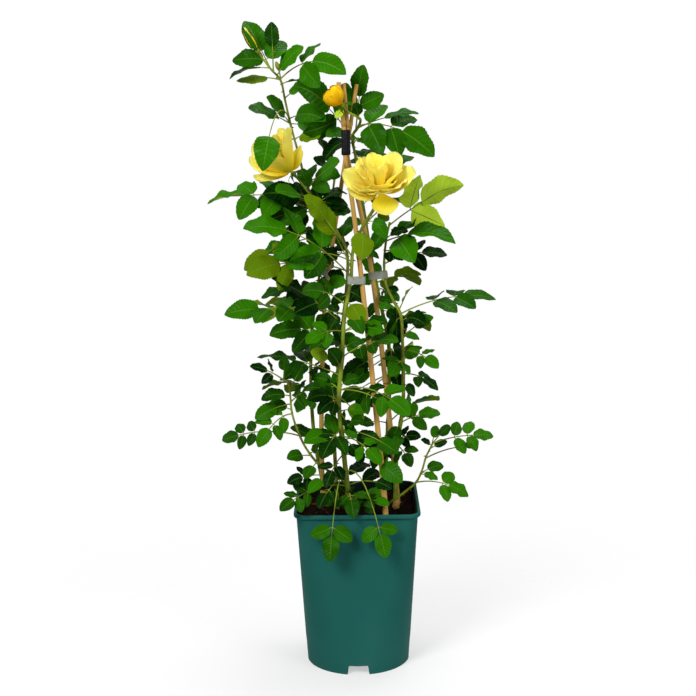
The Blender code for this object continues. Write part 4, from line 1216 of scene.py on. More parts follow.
@dataclass(frozen=True)
class Frond:
    """A leaf of one, three or five leaflets, given as in the part's own table."""

    at: float  # its place on the stem, as a share of the stem's length
    tip: Point
    leaflets: int
    blade: float  # the end leaflet's length
    lean: float  # how far the leaf turns its face to the front, in degrees
    arch: float
    turned: bool = False  # whether its underside is up

    reach: Span = (0.84, 0.74)  # the end leaflet's largest share of the way: alone, with pairs
    bare: float = 8.0  # of the stalk at its foot
    first_pair: Span = (0.3, 0.5)  # its place, at most, in end leaflets and in stalks
    gaps: Span = (0.44, 0.62)  # between pairs, least and most, in end leaflets
    half_width: float = 0.34
    shrink: float = 0.88  # the side leaflets' length, as a share of the end one's
    spread: float = 60.0  # their angle to the stalk
    droop: float = 0.12
    beside: float = 0.6  # they start this far from the stalk's middle
    neck: Span = (2.5, 0.08)  # their own stalk, at most, in millimetres and in lengths
    steps: int = 25
    pieces: int = 8  # of the stalk's rod
    radii: Span = (1.15, 0.7)
    sides: int = 6
    shades: Span = (0.1, 0.9)  # from here on, what the leaf's own numbers choose from
    shade_change: float = 0.15
    widths: Span = (0.85, 1.05)
    end_widths: Span = (0.9, 1.08)
    curls: Span = (0.02, 0.2)  # how far a leaflet's tip hangs, in lengths
    folds: Span = (0.05, 0.5)  # the rise of its halves from its midrib
    end_folds: Span = (0.05, 0.4)
    waves: Span = (0.015, 0.06)
    lengths: Span = (0.9, 1.04)  # from here on, what the stem's numbers choose from
    turns: float = 6.0
    rolls: float = 12.0

    def grow(self, path: Array, dice: random.Random) -> tuple[list[Blade], list[Surface]]:
        """Grow the leaf from its stem.

        The stalk is a quadratic curve to the tip, raised by the arch. Side leaflets leave it in
        pairs, and the end leaflet follows its last stretch.

        Args:
            path: the stem's middle line.
            dice: draws the small differences.

        Returns:
            Its blades and its stalks.
        """
        stem = lengths(path)
        root, tip = between(stem, path, self.at * stem[-1]), np.array(self.tip, float)
        rise = (root + tip) / 2 + (0.0, 0.0, 2.0 * self.arch)
        chord = np.linalg.norm(tip - root)
        blade = min(self.blade, self.reach[self.leaflets > 1] * chord)
        shares = np.linspace(0, 1, self.steps)
        along = lengths(arc(root, rise, tip, shares[:, None]))

        def share_at(back: float) -> float:
            """The share of the curve that lies a distance before the tip."""
            return float(np.interp(along[-1] - back, along, shares))

        stalk = chord - blade
        first = min(self.first_pair[0] * blade, self.first_pair[1] * stalk)
        room = stalk - first - self.bare
        pairs = min((self.leaflets - 1) // 2, 1 + max(0, int(room / (self.gaps[0] * blade))))
        gap = 0.0 if pairs < 2 else min(self.gaps[1] * blade, room / (pairs - 1))
        own = random.Random(round(1000 * self.at) + round(tip[0] * 7 + tip[2]))
        shade = own.uniform(*self.shades)
        blades: list[Blade] = []
        feet: list[Array] = []
        for number in reversed(range(pairs)):
            joint = share_at(blade + first + gap * number)
            foot, way = arc(root, rise, tip, joint), arc_way(root, rise, tip, joint)
            for sign in (-1, 1):
                feet.append(foot)
                blades.append(self.leaflet(foot, way, sign, blade, shade, dice, own))
        end = share_at(blade)
        start = arc(root, rise, tip, end)
        bend = start + (1 - end) * ((rise - root) * (1 - end) + (tip - rise) * end)
        feet.append(arc(root, rise, tip, end - 0.01))
        blades.append(Blade(start, bend, tip, self.face(arc_way(root, rise, tip, (1 + end) / 2)),
                            self.half_width * blade * own.uniform(*self.end_widths), shade,
                            own.uniform(*self.end_folds), own.uniform(*self.waves)))
        blades = [each.settled(own, self.turned) for each in blades]
        stalks = [each.stalk(foot) for each, foot in zip(blades, feet)]
        middle = arc(root, rise, tip, np.linspace(0, end, self.pieces)[:, None])
        stalks.append(rod(middle, np.linspace(*self.radii, self.pieces), self.sides, shade))
        return blades, stalks

    def face(self, way: Array) -> Array:
        """The leaf's upper side where its stalk runs in a direction."""
        lean = math.radians(self.lean)
        face = np.array((0.0, -math.sin(lean), math.cos(lean)))
        return unit(face - way * (face @ way))

    def leaflet(self, foot: Array, way: Array, sign: int, blade: float, shade: float,
                dice: random.Random, own: random.Random) -> Blade:
        """A side leaflet.

        Args:
            foot: where it leaves the stalk.
            way: the stalk's direction there.
            sign: -1 for one side and 1 for the other.
            blade: the end leaflet's length.
            shade: the leaf's tint.
            dice: the stem's random numbers.
            own: the leaf's own.

        Returns:
            The leaflet.
        """
        turn = math.radians(self.spread + dice.uniform(-self.turns, self.turns))
        length = blade * self.shrink * dice.uniform(*self.lengths)
        roll = math.radians(dice.uniform(-self.rolls, self.rolls))
        up = self.face(way)
        side = np.cross(way, up) * sign
        out = unit(way * math.cos(turn) + side * math.sin(turn) - up * self.droop)
        across = unit(way - out * (way @ out))
        across = across * math.cos(roll) + sign * np.cross(out, across) * math.sin(roll)
        over = sign * np.cross(out, across)
        start = foot + side * self.beside
        return Blade(start + out * min(self.neck[0], self.neck[1] * length),
                     start + out * length / 2,
                     start + out * length - over * own.uniform(*self.curls) * length, over,
                     self.half_width * length * own.uniform(*self.widths),
                     shade + own.uniform(-self.shade_change, self.shade_change),
                     own.uniform(*self.folds), own.uniform(*self.waves))


class End(Enum):
    """How a branch ends: the profile of its swelling, as place and growth in radius."""

    PLAIN = ()
    CALYX = ((-9.0, 0.0), (-6.0, 0.5), (-4.0, 2.0), (-1.5, 2.7), (0.0, 2.4), (1.0, 1.4))
    BUD = ((-14.0, 0.2), (-11.0, 1.6), (-8.0, 2.4), (-4.0, 1.9), (-1.5, 0.9), (0.0, -0.5))


class Sepal(Enum):
    """How sepals stand: bend and tip as out and ahead, then half width, tint, fold and wave."""

    HANGING = ((8.0, 1.0), (11.52, -9.6), 2.6, 0.7, 0.3, 0.03)
    FOLDED = ((9.0, 18.0), (-2.5, 40.0), 3.7, 0.55, -0.35, 0.01)


@dataclass(frozen=True)
class Branch:
    """A stem: its route from the root, its widths, its fronds and how it ends."""

    route: tuple[Point, ...]
    thick: tuple[float, float]
    rows: tuple[tuple, ...] = ()
    sepals: int = 0
    end: End = End.PLAIN
    stance: Sepal = Sepal.HANGING
    step: float = 38.0  # of the middle line that the part's leaves grow from
    fine_step: float = 5.0
    joint_rise: float = 0.16  # how much a leaf's joint swells the stem
    joint_length: float = 4.0

    def line(self, step: float | None = None) -> Rod:
        """The middle line as the part has it, or in other steps, and its radii."""
        path = smooth(self.route, step or self.step)
        share = lengths(path) / lengths(path)[-1]
        return path, (self.thick[0] + (self.thick[1] - self.thick[0]) * share) / 2

    def fine_line(self) -> Rod:
        """The same line in fine steps, with slight joints where leaves leave it."""
        path, radii = self.line(self.fine_step)
        along = lengths(path)
        joints = np.array([row[0] for row in self.rows] or [2.0]) * along[-1]
        near = np.exp(-((along[:, None] - joints) / self.joint_length) ** 2).max(axis=1)
        return path, radii * (1.0 + self.joint_rise * near)


@dataclass
class LeafyStem:
    """One stem with its side branches, leaves, thorns, calyxes and sepals, as one piece."""

    node: str
    branches: tuple[Branch, ...]
    seed: int
    extra: tuple[tuple, ...] = ()
    first_seed: int = 100
    sides: int = 9
    thornless: int = 12  # a line of no more points than this has no thorns
    thorny: Span = (0.08, 0.97)  # the stretch that has them
    thorn_places: Span = (0.1, 0.9)
    thorn_sizes: Span = (0.55, 1.0)
    thorn_sides: int = 6
    thorn_step: float = 17.0
    thorn_length: float = 4.6
    thorn_hook: float = 0.42  # how far a thorn leans down, as a share of its length
    thorn_half: tuple[float, float] = (0.17, 0.4)  # its root's half width and half height
    thorn_form: tuple = ((-0.1, 1.0), (0.3, 0.6), (0.7, 0.26), (1.0, 0.03))  # place and size
    calyx_sides: int = 12
    calyx_tint: float = 0.6
    calyx_depth: float = 3.0  # the stem ends this far before the flower's foot
    sepal_root: Span = (2.2, -2.0)  # out from the stem's skin, and ahead
    sideways: Point = (0.0, 1.0, 0.2)
    large: float = 17.0  # half widths from here on get the pointed outline
    finish: Finish = Foliage("rose_foliage")
    blades: list[Blade] = field(default_factory=list)
    sepals: list[Blade] = field(default_factory=list)
    parts: list[Surface] = field(default_factory=list)

    def thorns(self, path: Array, radii: Array, dice: np.random.Generator) -> list[Surface]:
        """Hooked thorns: each is a tapered ring stack that leans down as it leaves the stem.

        Args:
            path: the stem's middle line.
            radii: its radii.
            dice: draws their places.

        Returns:
            The thorns of this stem.
        """
        along = lengths(path)
        count = max(2, int(along[-1] / self.thorn_step))
        spots = (np.arange(count) + dice.uniform(*self.thorn_places, count)) * along[-1] / count
        low, high = self.thorny
        spots = spots[(spots > low * along[-1]) & (spots < high * along[-1])]
        middle = between(along, path, spots)
        ways = unit(between(along, directions(path), spots))
        radius = np.interp(spots, along, radii)[:, None]
        out = unit(np.cross(ways, unit(dice.normal(size=(len(spots), 3)))))
        beside = np.cross(ways, out)[:, None]
        scale = dice.uniform(*self.thorn_sizes, (len(spots), 1)) * self.thorn_length
        half_width, half_height = self.thorn_half
        flat = circle(self.thorn_sides)
        rings = []
        for share, size in self.thorn_form:
            centre = (middle + out * (radius + scale * share)
                      - ways * scale * self.thorn_hook * share ** 2)
            rings.append(centre[:, None]
                         + beside * flat[:, :1] * (size * scale * half_width)[:, None]
                         + ways[:, None] * flat[:, 1:] * (size * scale * half_height)[:, None])
        return [lathe(each, MIDDLE, Mark.THORN) for each in np.stack(rings, axis=1)]

    def calyx(self, path: Array, radius: float, end: End) -> Surface:
        """The swollen end of a branch: an urn under a flower, or a closed green bud."""
        ahead = directions(path)[-1]
        places, growth = np.array(end.value).T
        return rod(path[-1] + ahead * places[:, None], radius + growth, self.calyx_sides,
                   self.calyx_tint, Mark.BARK, np.tile(ahead, (len(places), 1)))

    def hang_sepals(self, path: Array, radius: float, branch: Branch) -> None:
        """Narrow sepals round the calyx: bent back under a flower, or folded up over a bud."""
        folded = branch.stance is Sepal.FOLDED
        bend, tip, *form = branch.stance.value
        ahead = directions(path)[-1]
        across = unit(np.cross(ahead, self.sideways))
        beside = np.cross(ahead, across)
        for cosine, sine in circle(branch.sepals):
            out = across * cosine + beside * sine
            root = path[-1] + out * (radius + self.sepal_root[0]) + ahead * self.sepal_root[1]
            sepal = Blade(root, root + out * bend[0] + ahead * bend[1],
                          root + out * tip[0] + ahead * tip[1], out if folded else ahead, *form)
            (self.blades if folded else self.sepals).append(sepal)

    def build(self) -> Surface:
        """Grow every branch, then all the blades of a size at once."""
        dice = random.Random(self.first_seed + self.seed)
        thorn_dice = np.random.default_rng(self.seed)
        for branch in self.branches:
            coarse, _ = branch.line()
            path, radii = branch.fine_line()
            if branch.end is not End.PLAIN:
                self.parts.append(self.calyx(coarse, radii[-1], branch.end))
                self.hang_sepals(coarse, radii[-1], branch)
                keep = lengths(path) < lengths(path)[-1] - self.calyx_depth
                path, radii = path[keep], radii[keep]
            self.parts.append(rod(path, radii, self.sides))
            if len(path) > self.thornless:
                self.parts += self.thorns(path, radii, thorn_dice)
            self.add(branch.rows, coarse, dice)
        self.add(self.extra, self.branches[0].line()[0], dice)
        small = [blade for blade in self.blades if blade.half < self.large]
        large = [blade for blade in self.blades if blade.half >= self.large]
        for group, outline in ((small, Outline.ROUND), (large, Outline.POINTED),
                               (self.sepals, Outline.SEPAL)):
            if group:
                self.parts.append(grow_blades(group, outline))
        return Surface.joined(self.parts)

    def add(self, rows: tuple[tuple, ...], path: Array, dice: random.Random) -> None:
        """Grow the fronds of a table on a path."""
        for row in rows:
            blades, stalks = Frond(*row).grow(path, dice)
            self.blades += blades
            self.parts += stalks

    def dress(self) -> None:
        """Make the piece."""
        self.build().piece("leafy_" + self.node, self.finish, "foliage", self.node)


# Flowers

@dataclass(frozen=True)
class Whorl:
    """Petals that open alike, with angles in degrees."""

    count: int
    length: float
    opening: float
    first: float  # where the first points: 0 right, 90 back, 180 left, 270 front
    width: float = 0.5
    offset: float = 2.0  # how far from the axis they start
    cup: float = 1.7  # radius of their hollow, for a half width of 1
    ruffle: float = 0.045
    tint: float = 0.5
    globe: float = 0.0  # how far they close to a globe
    twist: float = 0.0  # turn about their own middle line
    closing: float = 0.0  # how far their tips come back to the axis


@dataclass
class RoseBloom:
    """A flower: ruffled petals round a rolled heart, on the end of its stem."""

    node: str
    whorls: tuple[Whorl, ...]
    heart: tuple[float, float]
    shift: Point = (0.0, 0.0, 0.0)
    slot: str = "yellow_petal"
    finish: Finish = Petal("yellow_petals")
    rows: int = 14
    columns: int = 11
    thick: float = 0.7
    foot: float = 3.3  # the petals start this far along the axis
    root_width: float = 0.14
    widest: float = 0.62
    rim_width: float = 0.6
    rim_drop: float = 0.17  # how far the rim's corners fall back
    corner: float = 2.4  # how sharp they are
    lean: Span = (1.14, 0.26)  # a petal's angle at the root, and its loss
    globe_reach: float = 0.96  # the share of a globe that petals close
    rim_start: float = 0.4  # the ruffles grow from here on
    rim_growth: float = 1.6
    turns: float = 4.0  # from here on, what random numbers choose from
    sizes: Span = (0.96, 1.04)
    phases: Span = (0.0, 6.3)
    tint_change: float = 0.1
    first_seed: int = 40
    roll: float = 0.05  # how far the rim rolls outwards
    ripples: tuple = ((1.0, 3.4, 1.0), (0.6, 7.1, 2.1))  # height, waves across, phase
    heart_form: tuple = ((0.12, 0.55), (0.3, 0.85), (0.45, 0.9), (0.7, 0.72), (0.9, 0.4),
                         (0.98, 0.12))  # height and width, as shares of the heart's
    heart_foot: Span = (0.3, 0.3)
    heart_width: float = 0.86  # against the width in the table
    heart_tint: float = 0.3
    heart_sides: int = 16

    def petals(self, whorl: Whorl, root: Array, axis: Array, seed: int) -> Surface:
        """The petals of a whorl as thin closed sheets.

        The middle line leaves the axis at an angle that shrinks along the petal; on a globe it
        is the arc cosine of the share. Across, the petal is an arc of a circle. Its half width
        grows as a quarter sine to the widest place and then shrinks as a quarter ellipse. Its
        rim waves.

        Args:
            whorl: what to grow.
            root: the flower's foot.
            axis: its direction.
            seed: draws the small differences.

        Returns:
            The petals in one surface.
        """
        dice = np.random.default_rng(seed)
        turn = np.radians(whorl.first + 360.0 * np.arange(whorl.count) / whorl.count
                          + dice.uniform(-self.turns, self.turns, whorl.count))
        reach = (whorl.length * dice.uniform(*self.sizes, whorl.count))[:, None, None, None]
        across = unit(np.cross((0.0, 1.0, 0.0), axis))
        beside = np.cross(axis, across)
        out = (across * np.cos(turn)[:, None] + beside * np.sin(turn)[:, None])[:, None, None]
        side = np.cross(axis, out)
        share = np.linspace(0, 1, self.rows)[None, :, None, None]
        place = np.linspace(-1, 1, self.columns)[None, None, :, None]
        rounded = share * (1 - self.rim_drop * np.abs(place) ** self.corner * share)
        lean = math.radians(whorl.opening) * (self.lean[0] - self.lean[1] * rounded)
        lean = lean * (1 - whorl.closing * rounded ** 2)
        lean = lean + whorl.globe * (np.arccos(self.globe_reach * rounded) - lean)
        ahead = out * np.sin(lean) + axis * np.cos(lean)
        inner = axis * np.sin(lean) - out * np.cos(lean)
        twist = math.radians(whorl.twist)
        side, inner = (side * math.cos(twist) + inner * math.sin(twist),
                       inner * math.cos(twist) - side * math.sin(twist))
        beyond = np.clip((share - self.widest) / (1 - self.widest), 0, 1)
        form = self.root_width + (1 - self.root_width) * np.sin(
            np.pi / 2 * np.minimum(share / self.widest, 1))
        form = form * np.sqrt(1 - (1 - self.rim_width ** 2) * beyond ** 2)
        radius = whorl.cup * whorl.width * reach
        swing = place * whorl.width * reach * form / radius
        phase = dice.uniform(*self.phases, (whorl.count, 1, 1, 1))
        rim = np.clip((rounded - self.rim_start) / (1 - self.rim_start), 0, 1) ** self.rim_growth
        waves = rim * sum(height * np.sin(place * count + shift * phase)
                          for height, count, shift in self.ripples)
        roll = self.roll * (1 - whorl.globe) * beyond ** 2
        points = (root + axis * self.foot + out * whorl.offset + ahead * reach * rounded
                  + side * radius * np.sin(swing) + inner * radius * (1 - np.cos(swing))
                  + inner * reach * (whorl.ruffle * waves - roll))
        pattern = np.stack(np.broadcast_arrays((place[0, :, :, 0] + 1) / 2, share[0, :, :, 0]),
                           axis=-1)
        return sheets(points, points - self.thick * inner, pattern,
                      whorl.tint + dice.uniform(-self.tint_change, self.tint_change, whorl.count),
                      False)

    def core(self, root: Array, axis: Array) -> Surface:
        """The rolled heart, as a rounded cone."""
        wide, tall = self.heart
        places, sizes = np.vstack([self.heart_foot, np.array(self.heart_form) * (tall, 1.0)]).T
        core = rod(root + axis * places[:, None], sizes * wide / 2 * self.heart_width,
                   self.heart_sides, self.heart_tint, Mark.TOP, np.tile(axis, (len(places), 1)))
        core.pattern[:, 1] = self.heart_tint
        return core

    def build(self, line: Array) -> Surface:
        """The heart, with every whorl round it.

        Args:
            line: the middle line of the stem that carries it.

        Returns:
            The flower.
        """
        root, axis = line[-1] + self.shift, directions(line)[-1]
        return Surface.joined([self.core(root, axis)] + [
            self.petals(whorl, root, axis, self.first_seed + number + len(self.node))
            for number, whorl in enumerate(self.whorls)])

    def dress(self, line: Array) -> None:
        """Make the piece on its stem."""
        self.build(line).piece("rose_" + self.node, self.finish, self.slot, self.node)


# Tables

# A leaf's row also seeds its tint, partly its own tone and partly painted light and shade; some
# tips stand 1 or 2 mm aside to choose it.
PLANT = {
    "stem_front": (Branch(
        route=((-9, -46, 180), (-12, -47, 255), (-19, -47, 336), (-25, -46, 410),
               (-19, -44, 478), (-16, -42, 530), (-6, -38, 587), (-2, -36, 630),
               (13, -40, 664), (28, -52, 690), (27, -56, 703)),
        thick=(8.5, 4.0), end=End.CALYX, sepals=4,
        rows=(
            (0.19, (-110, -115, 265), 5, 27, 55, 14), (0.20, (-100, -95, 300), 3, 26, 50, 12),
            (0.22, (-55, -105, 265), 3, 26, 60, 10), (0.18, (-5, -105, 250), 3, 32, 70, 10),
            (0.14, (25, -90, 260), 3, 25, 50, 12), (0.23, (40, -120, 195), 3, 35, 80, 42),
            (0.22, (-40, -120, 190), 3, 38, 80, 46), (0.19, (50, -95, 290), 1, 29, 55, 10),
            (0.28, (-45, -85, 290), 3, 28, 60, 8), (0.32, (-75, -80, 355), 3, 43, 60, 8),
            (0.35, (-50, -95, 335), 3, 37, 60, 6), (0.28, (65, -95, 300), 1, 40, 60, 12),
            (0.33, (35, -90, 325), 3, 32, 60, 10), (0.34, (10, -80, 385), 3, 32, 55, 8),
            (0.46, (75, -115, 402), 3, 39, 50, 18), (0.43, (-70, -65, 415), 3, 36, 60, 8),
            (0.50, (-145, -20, 470), 3, 59, 15, 8), (0.52, (-40, -70, 490), 1, 37, 55, 3),
            (0.55, (60, -105, 506), 5, 36, 30, 10), (0.62, (-70, -80, 500), 3, 31, 50, 8),
            (0.66, (10, -90, 515), 1, 39, 70, 8), (0.69, (-75, -80, 575), 3, 37, 55, 10),
            (0.77, (-155, -90, 665), 5, 64, 50, 26), (0.81, (-105, -75, 620), 3, 51, 60, 12),
            (0.91, (10, -80, 619), 1, 47, 72, 4, True))),),
    "stem_left": (
        Branch(
            route=((-28, -4, 180), (-30, -8, 256), (-33, -12, 358), (-28, -14, 434),
                   (-20, -14, 507), (-13, -12, 567), (-11, -12, 619), (-25, -16, 652),
                   (-55, -8, 692), (-70, 14, 722), (-81, 36, 762), (-91, 38, 800),
                   (-99, 26, 840), (-104, 10, 868), (-117, -2, 884), (-129, -6, 900),
                   (-136, -6, 911)),
            thick=(6.5, 2.6), end=End.CALYX, sepals=4, stance=Sepal.FOLDED,
            rows=(
                (0.45, (-190, -30, 535), 5, 51, 16, 10), (0.43, (-120, -45, 590), 3, 60, 25, 8),
                (0.40, (-125, -35, 505), 5, 48, 45, 12),
                (0.53, (-155, -50, 595), 3, 52, 60, 16, True),
                (0.60, (-145, -5, 610), 3, 56, 45, 10), (0.64, (-145, -15, 690), 5, 61, 50, 14),
                (0.67, (-210, -30, 695), 5, 53, 35, 14), (0.68, (-110, -70, 715), 1, 51, 35, 4),
                (0.71, (-20, -45, 755), 1, 47, 35, 4), (0.85, (-125, -105, 745), 1, 58, 70, 40),
                (0.84, (-150, -10, 829), 1, 55, 60, 4), (0.84, (-125, 5, 845), 1, 44, 60, 2),
                (0.84, (-45, 50, 785), 1, 51, 40, 6), (0.92, (-65, 0, 865), 1, 36, 40, 4),
                (0.89, (-55, 30, 860), 1, 44, 30, 6), (0.93, (-10, -20, 875), 3, 55, 50, 22),
                (0.94, (-70, 0, 915), 1, 55, 35, 4), (0.95, (-115, 0, 950), 1, 35, 50, 2),
                (0.96, (-175, -20, 870), 1, 49, 14, 6), (0.96, (-156, 30, 953), 3, 55, 50, 3))),
        Branch(route=((-50, -10, 687), (-66, -13, 709), (-79, -15, 727), (-88, -17, 738)),
               thick=(3.0, 3.0), end=End.CALYX, sepals=5),
        Branch(route=((-103, 14, 862), (-106, 8, 882), (-110, 4, 895)), thick=(2.0, 2.0),
               end=End.BUD)),
    "stem_right": (Branch(
        route=((57, -12, 180), (58, -12, 254), (60, -12, 326), (69, -12, 392), (70, -12, 440),
               (69, -10, 489), (67, -4, 527), (54, 4, 553), (45, 8, 575), (43, 6, 606),
               (46, 0, 639), (51, -8, 665)),
        thick=(8.0, 3.0),
        rows=(
            (0.70, (40, 20, 485), 3, 39, 35, 6), (0.74, (35, 0, 550), 1, 35, 45, 4),
            (0.71, (210, 30, 545), 5, 51, 12, 14), (0.69, (100, -40, 520), 1, 39, 45, 6),
            (0.72, (85, 0, 570), 1, 29, 10, 3), (0.60, (120, -40, 455), 3, 26, 50, 8),
            (0.53, (120, -30, 420), 5, 29, 15, 8), (0.57, (50, -50, 445), 3, 32, 50, 6),
            (0.38, (125, -10, 380), 3, 33, 45, 6), (0.35, (60, -50, 340), 3, 25, 55, 5),
            (0.31, (80, -50, 310), 3, 26, 55, 5), (0.87, (135, 0, 615), 3, 38, 40, 10),
            (0.94, (145, -30, 635), 3, 74, 30, 12), (0.99, (161, 30, 715), 3, 70, -62, 8))),),
    "stem_back": (Branch(
        route=((40, 45, 180), (42, 44, 248), (48, 42, 344), (50, 40, 391), (50, 40, 476),
               (40, 42, 529), (28, 44, 589), (14, 42, 679), (3, 38, 753), (-2, 34, 786),
               (6, 24, 800), (10, 6, 811), (4, -12, 817), (-8, -17, 823), (-17, -19, 833)),
        thick=(8.0, 3.4), end=End.CALYX, sepals=5,
        rows=(
            (0.87, (-85, -15, 860), 3, 68, 60, 14), (0.86, (-45, 35, 750), 1, 56, 30, 12),
            (0.91, (116, 0, 758), 5, 60, 45, 18), (0.89, (15, 30, 890), 3, 46, 35, 4),
            (0.94, (0, -25, 835), 1, 32, 60, 3), (0.86, (15, 60, 780), 3, 39, 20, 6),
            (0.75, (90, 70, 755), 3, 42, 15, 10), (0.69, (90, 110, 680), 3, 52, -35, 14),
            (0.56, (100, 120, 555), 3, 53, -35, 12), (0.47, (115, 105, 485), 3, 53, -40, 12),
            (0.37, (85, 120, 455), 3, 50, -35, 12), (0.25, (130, 105, 375), 3, 47, -35, 12),
            (0.79, (25, 120, 765), 3, 46, -30, 10))),),
    "stem_back_left": (Branch(
        route=((-44, 74, 180), (-50, 70, 236), (-66, 62, 340), (-68, 56, 466), (-57, 50, 559),
               (-46, 48, 620), (-36, 50, 679), (-27, 50, 738)),
        thick=(7.0, 3.0),
        rows=(
            (0.68, (-140, 30, 550), 5, 45, 25, 8), (0.91, (-105, 100, 685), 5, 55, -30, 12),
            (0.76, (-85, 120, 595), 3, 56, -40, 10), (0.63, (-145, 105, 500), 3, 53, -35, 12),
            (0.49, (-45, 120, 470), 3, 53, -35, 10), (0.40, (-145, 80, 400), 3, 50, -30, 12),
            (0.25, (-95, 120, 325), 3, 51, -35, 10), (0.97, (-55, 75, 790), 3, 51, -10, 6))),),
    "shoot_left": (Branch(
        route=((-14, -20, 190), (-16, -25, 250), (-20, -32, 284), (-42, -46, 305),
               (-56, -55, 318), (-68, -62, 335), (-80, -66, 358), (-92, -70, 396),
               (-96, -70, 438), (-106, -70, 448)),
        thick=(5.0, 2.4),
        rows=(
            (0.99, (-100, -95, 485), 1, 28, 60, 1), (1.00, (-150, -90, 470), 3, 28, 45, 4),
            (0.92, (-75, -95, 470), 1, 31, 45, 4), (0.90, (-135, -85, 420), 1, 37, 40, 4),
            (0.87, (-50, -100, 440), 3, 37, 35, 6), (0.83, (-130, -60, 405), 1, 32, 45, 3),
            (0.81, (-140, -100, 355), 5, 31, 60, 12), (0.69, (-195, -60, 355), 5, 26, 50, 10),
            (0.57, (-100, -90, 335), 1, 29, 60, 2), (0.52, (-75, -90, 305), 1, 29, 60, 2))),),
    "shoot_right": (Branch(
        route=((38, -28, 190), (42, -32, 240), (52, -33, 254), (64, -32, 262), (76, -30, 271),
               (88, -28, 281), (97, -24, 298), (103, -22, 318), (114, -20, 340)),
        thick=(4.6, 2.4),
        rows=(
            (0.99, (205, 0, 343), 5, 32, 50, 6), (0.85, (180, 10, 325), 1, 21, 45, 6),
            (0.63, (165, -35, 260), 3, 34, 40, 10), (0.71, (130, -10, 300), 1, 27, 45, 4),
            (0.97, (120, 0, 360), 1, 21, 40, 2))),),
}

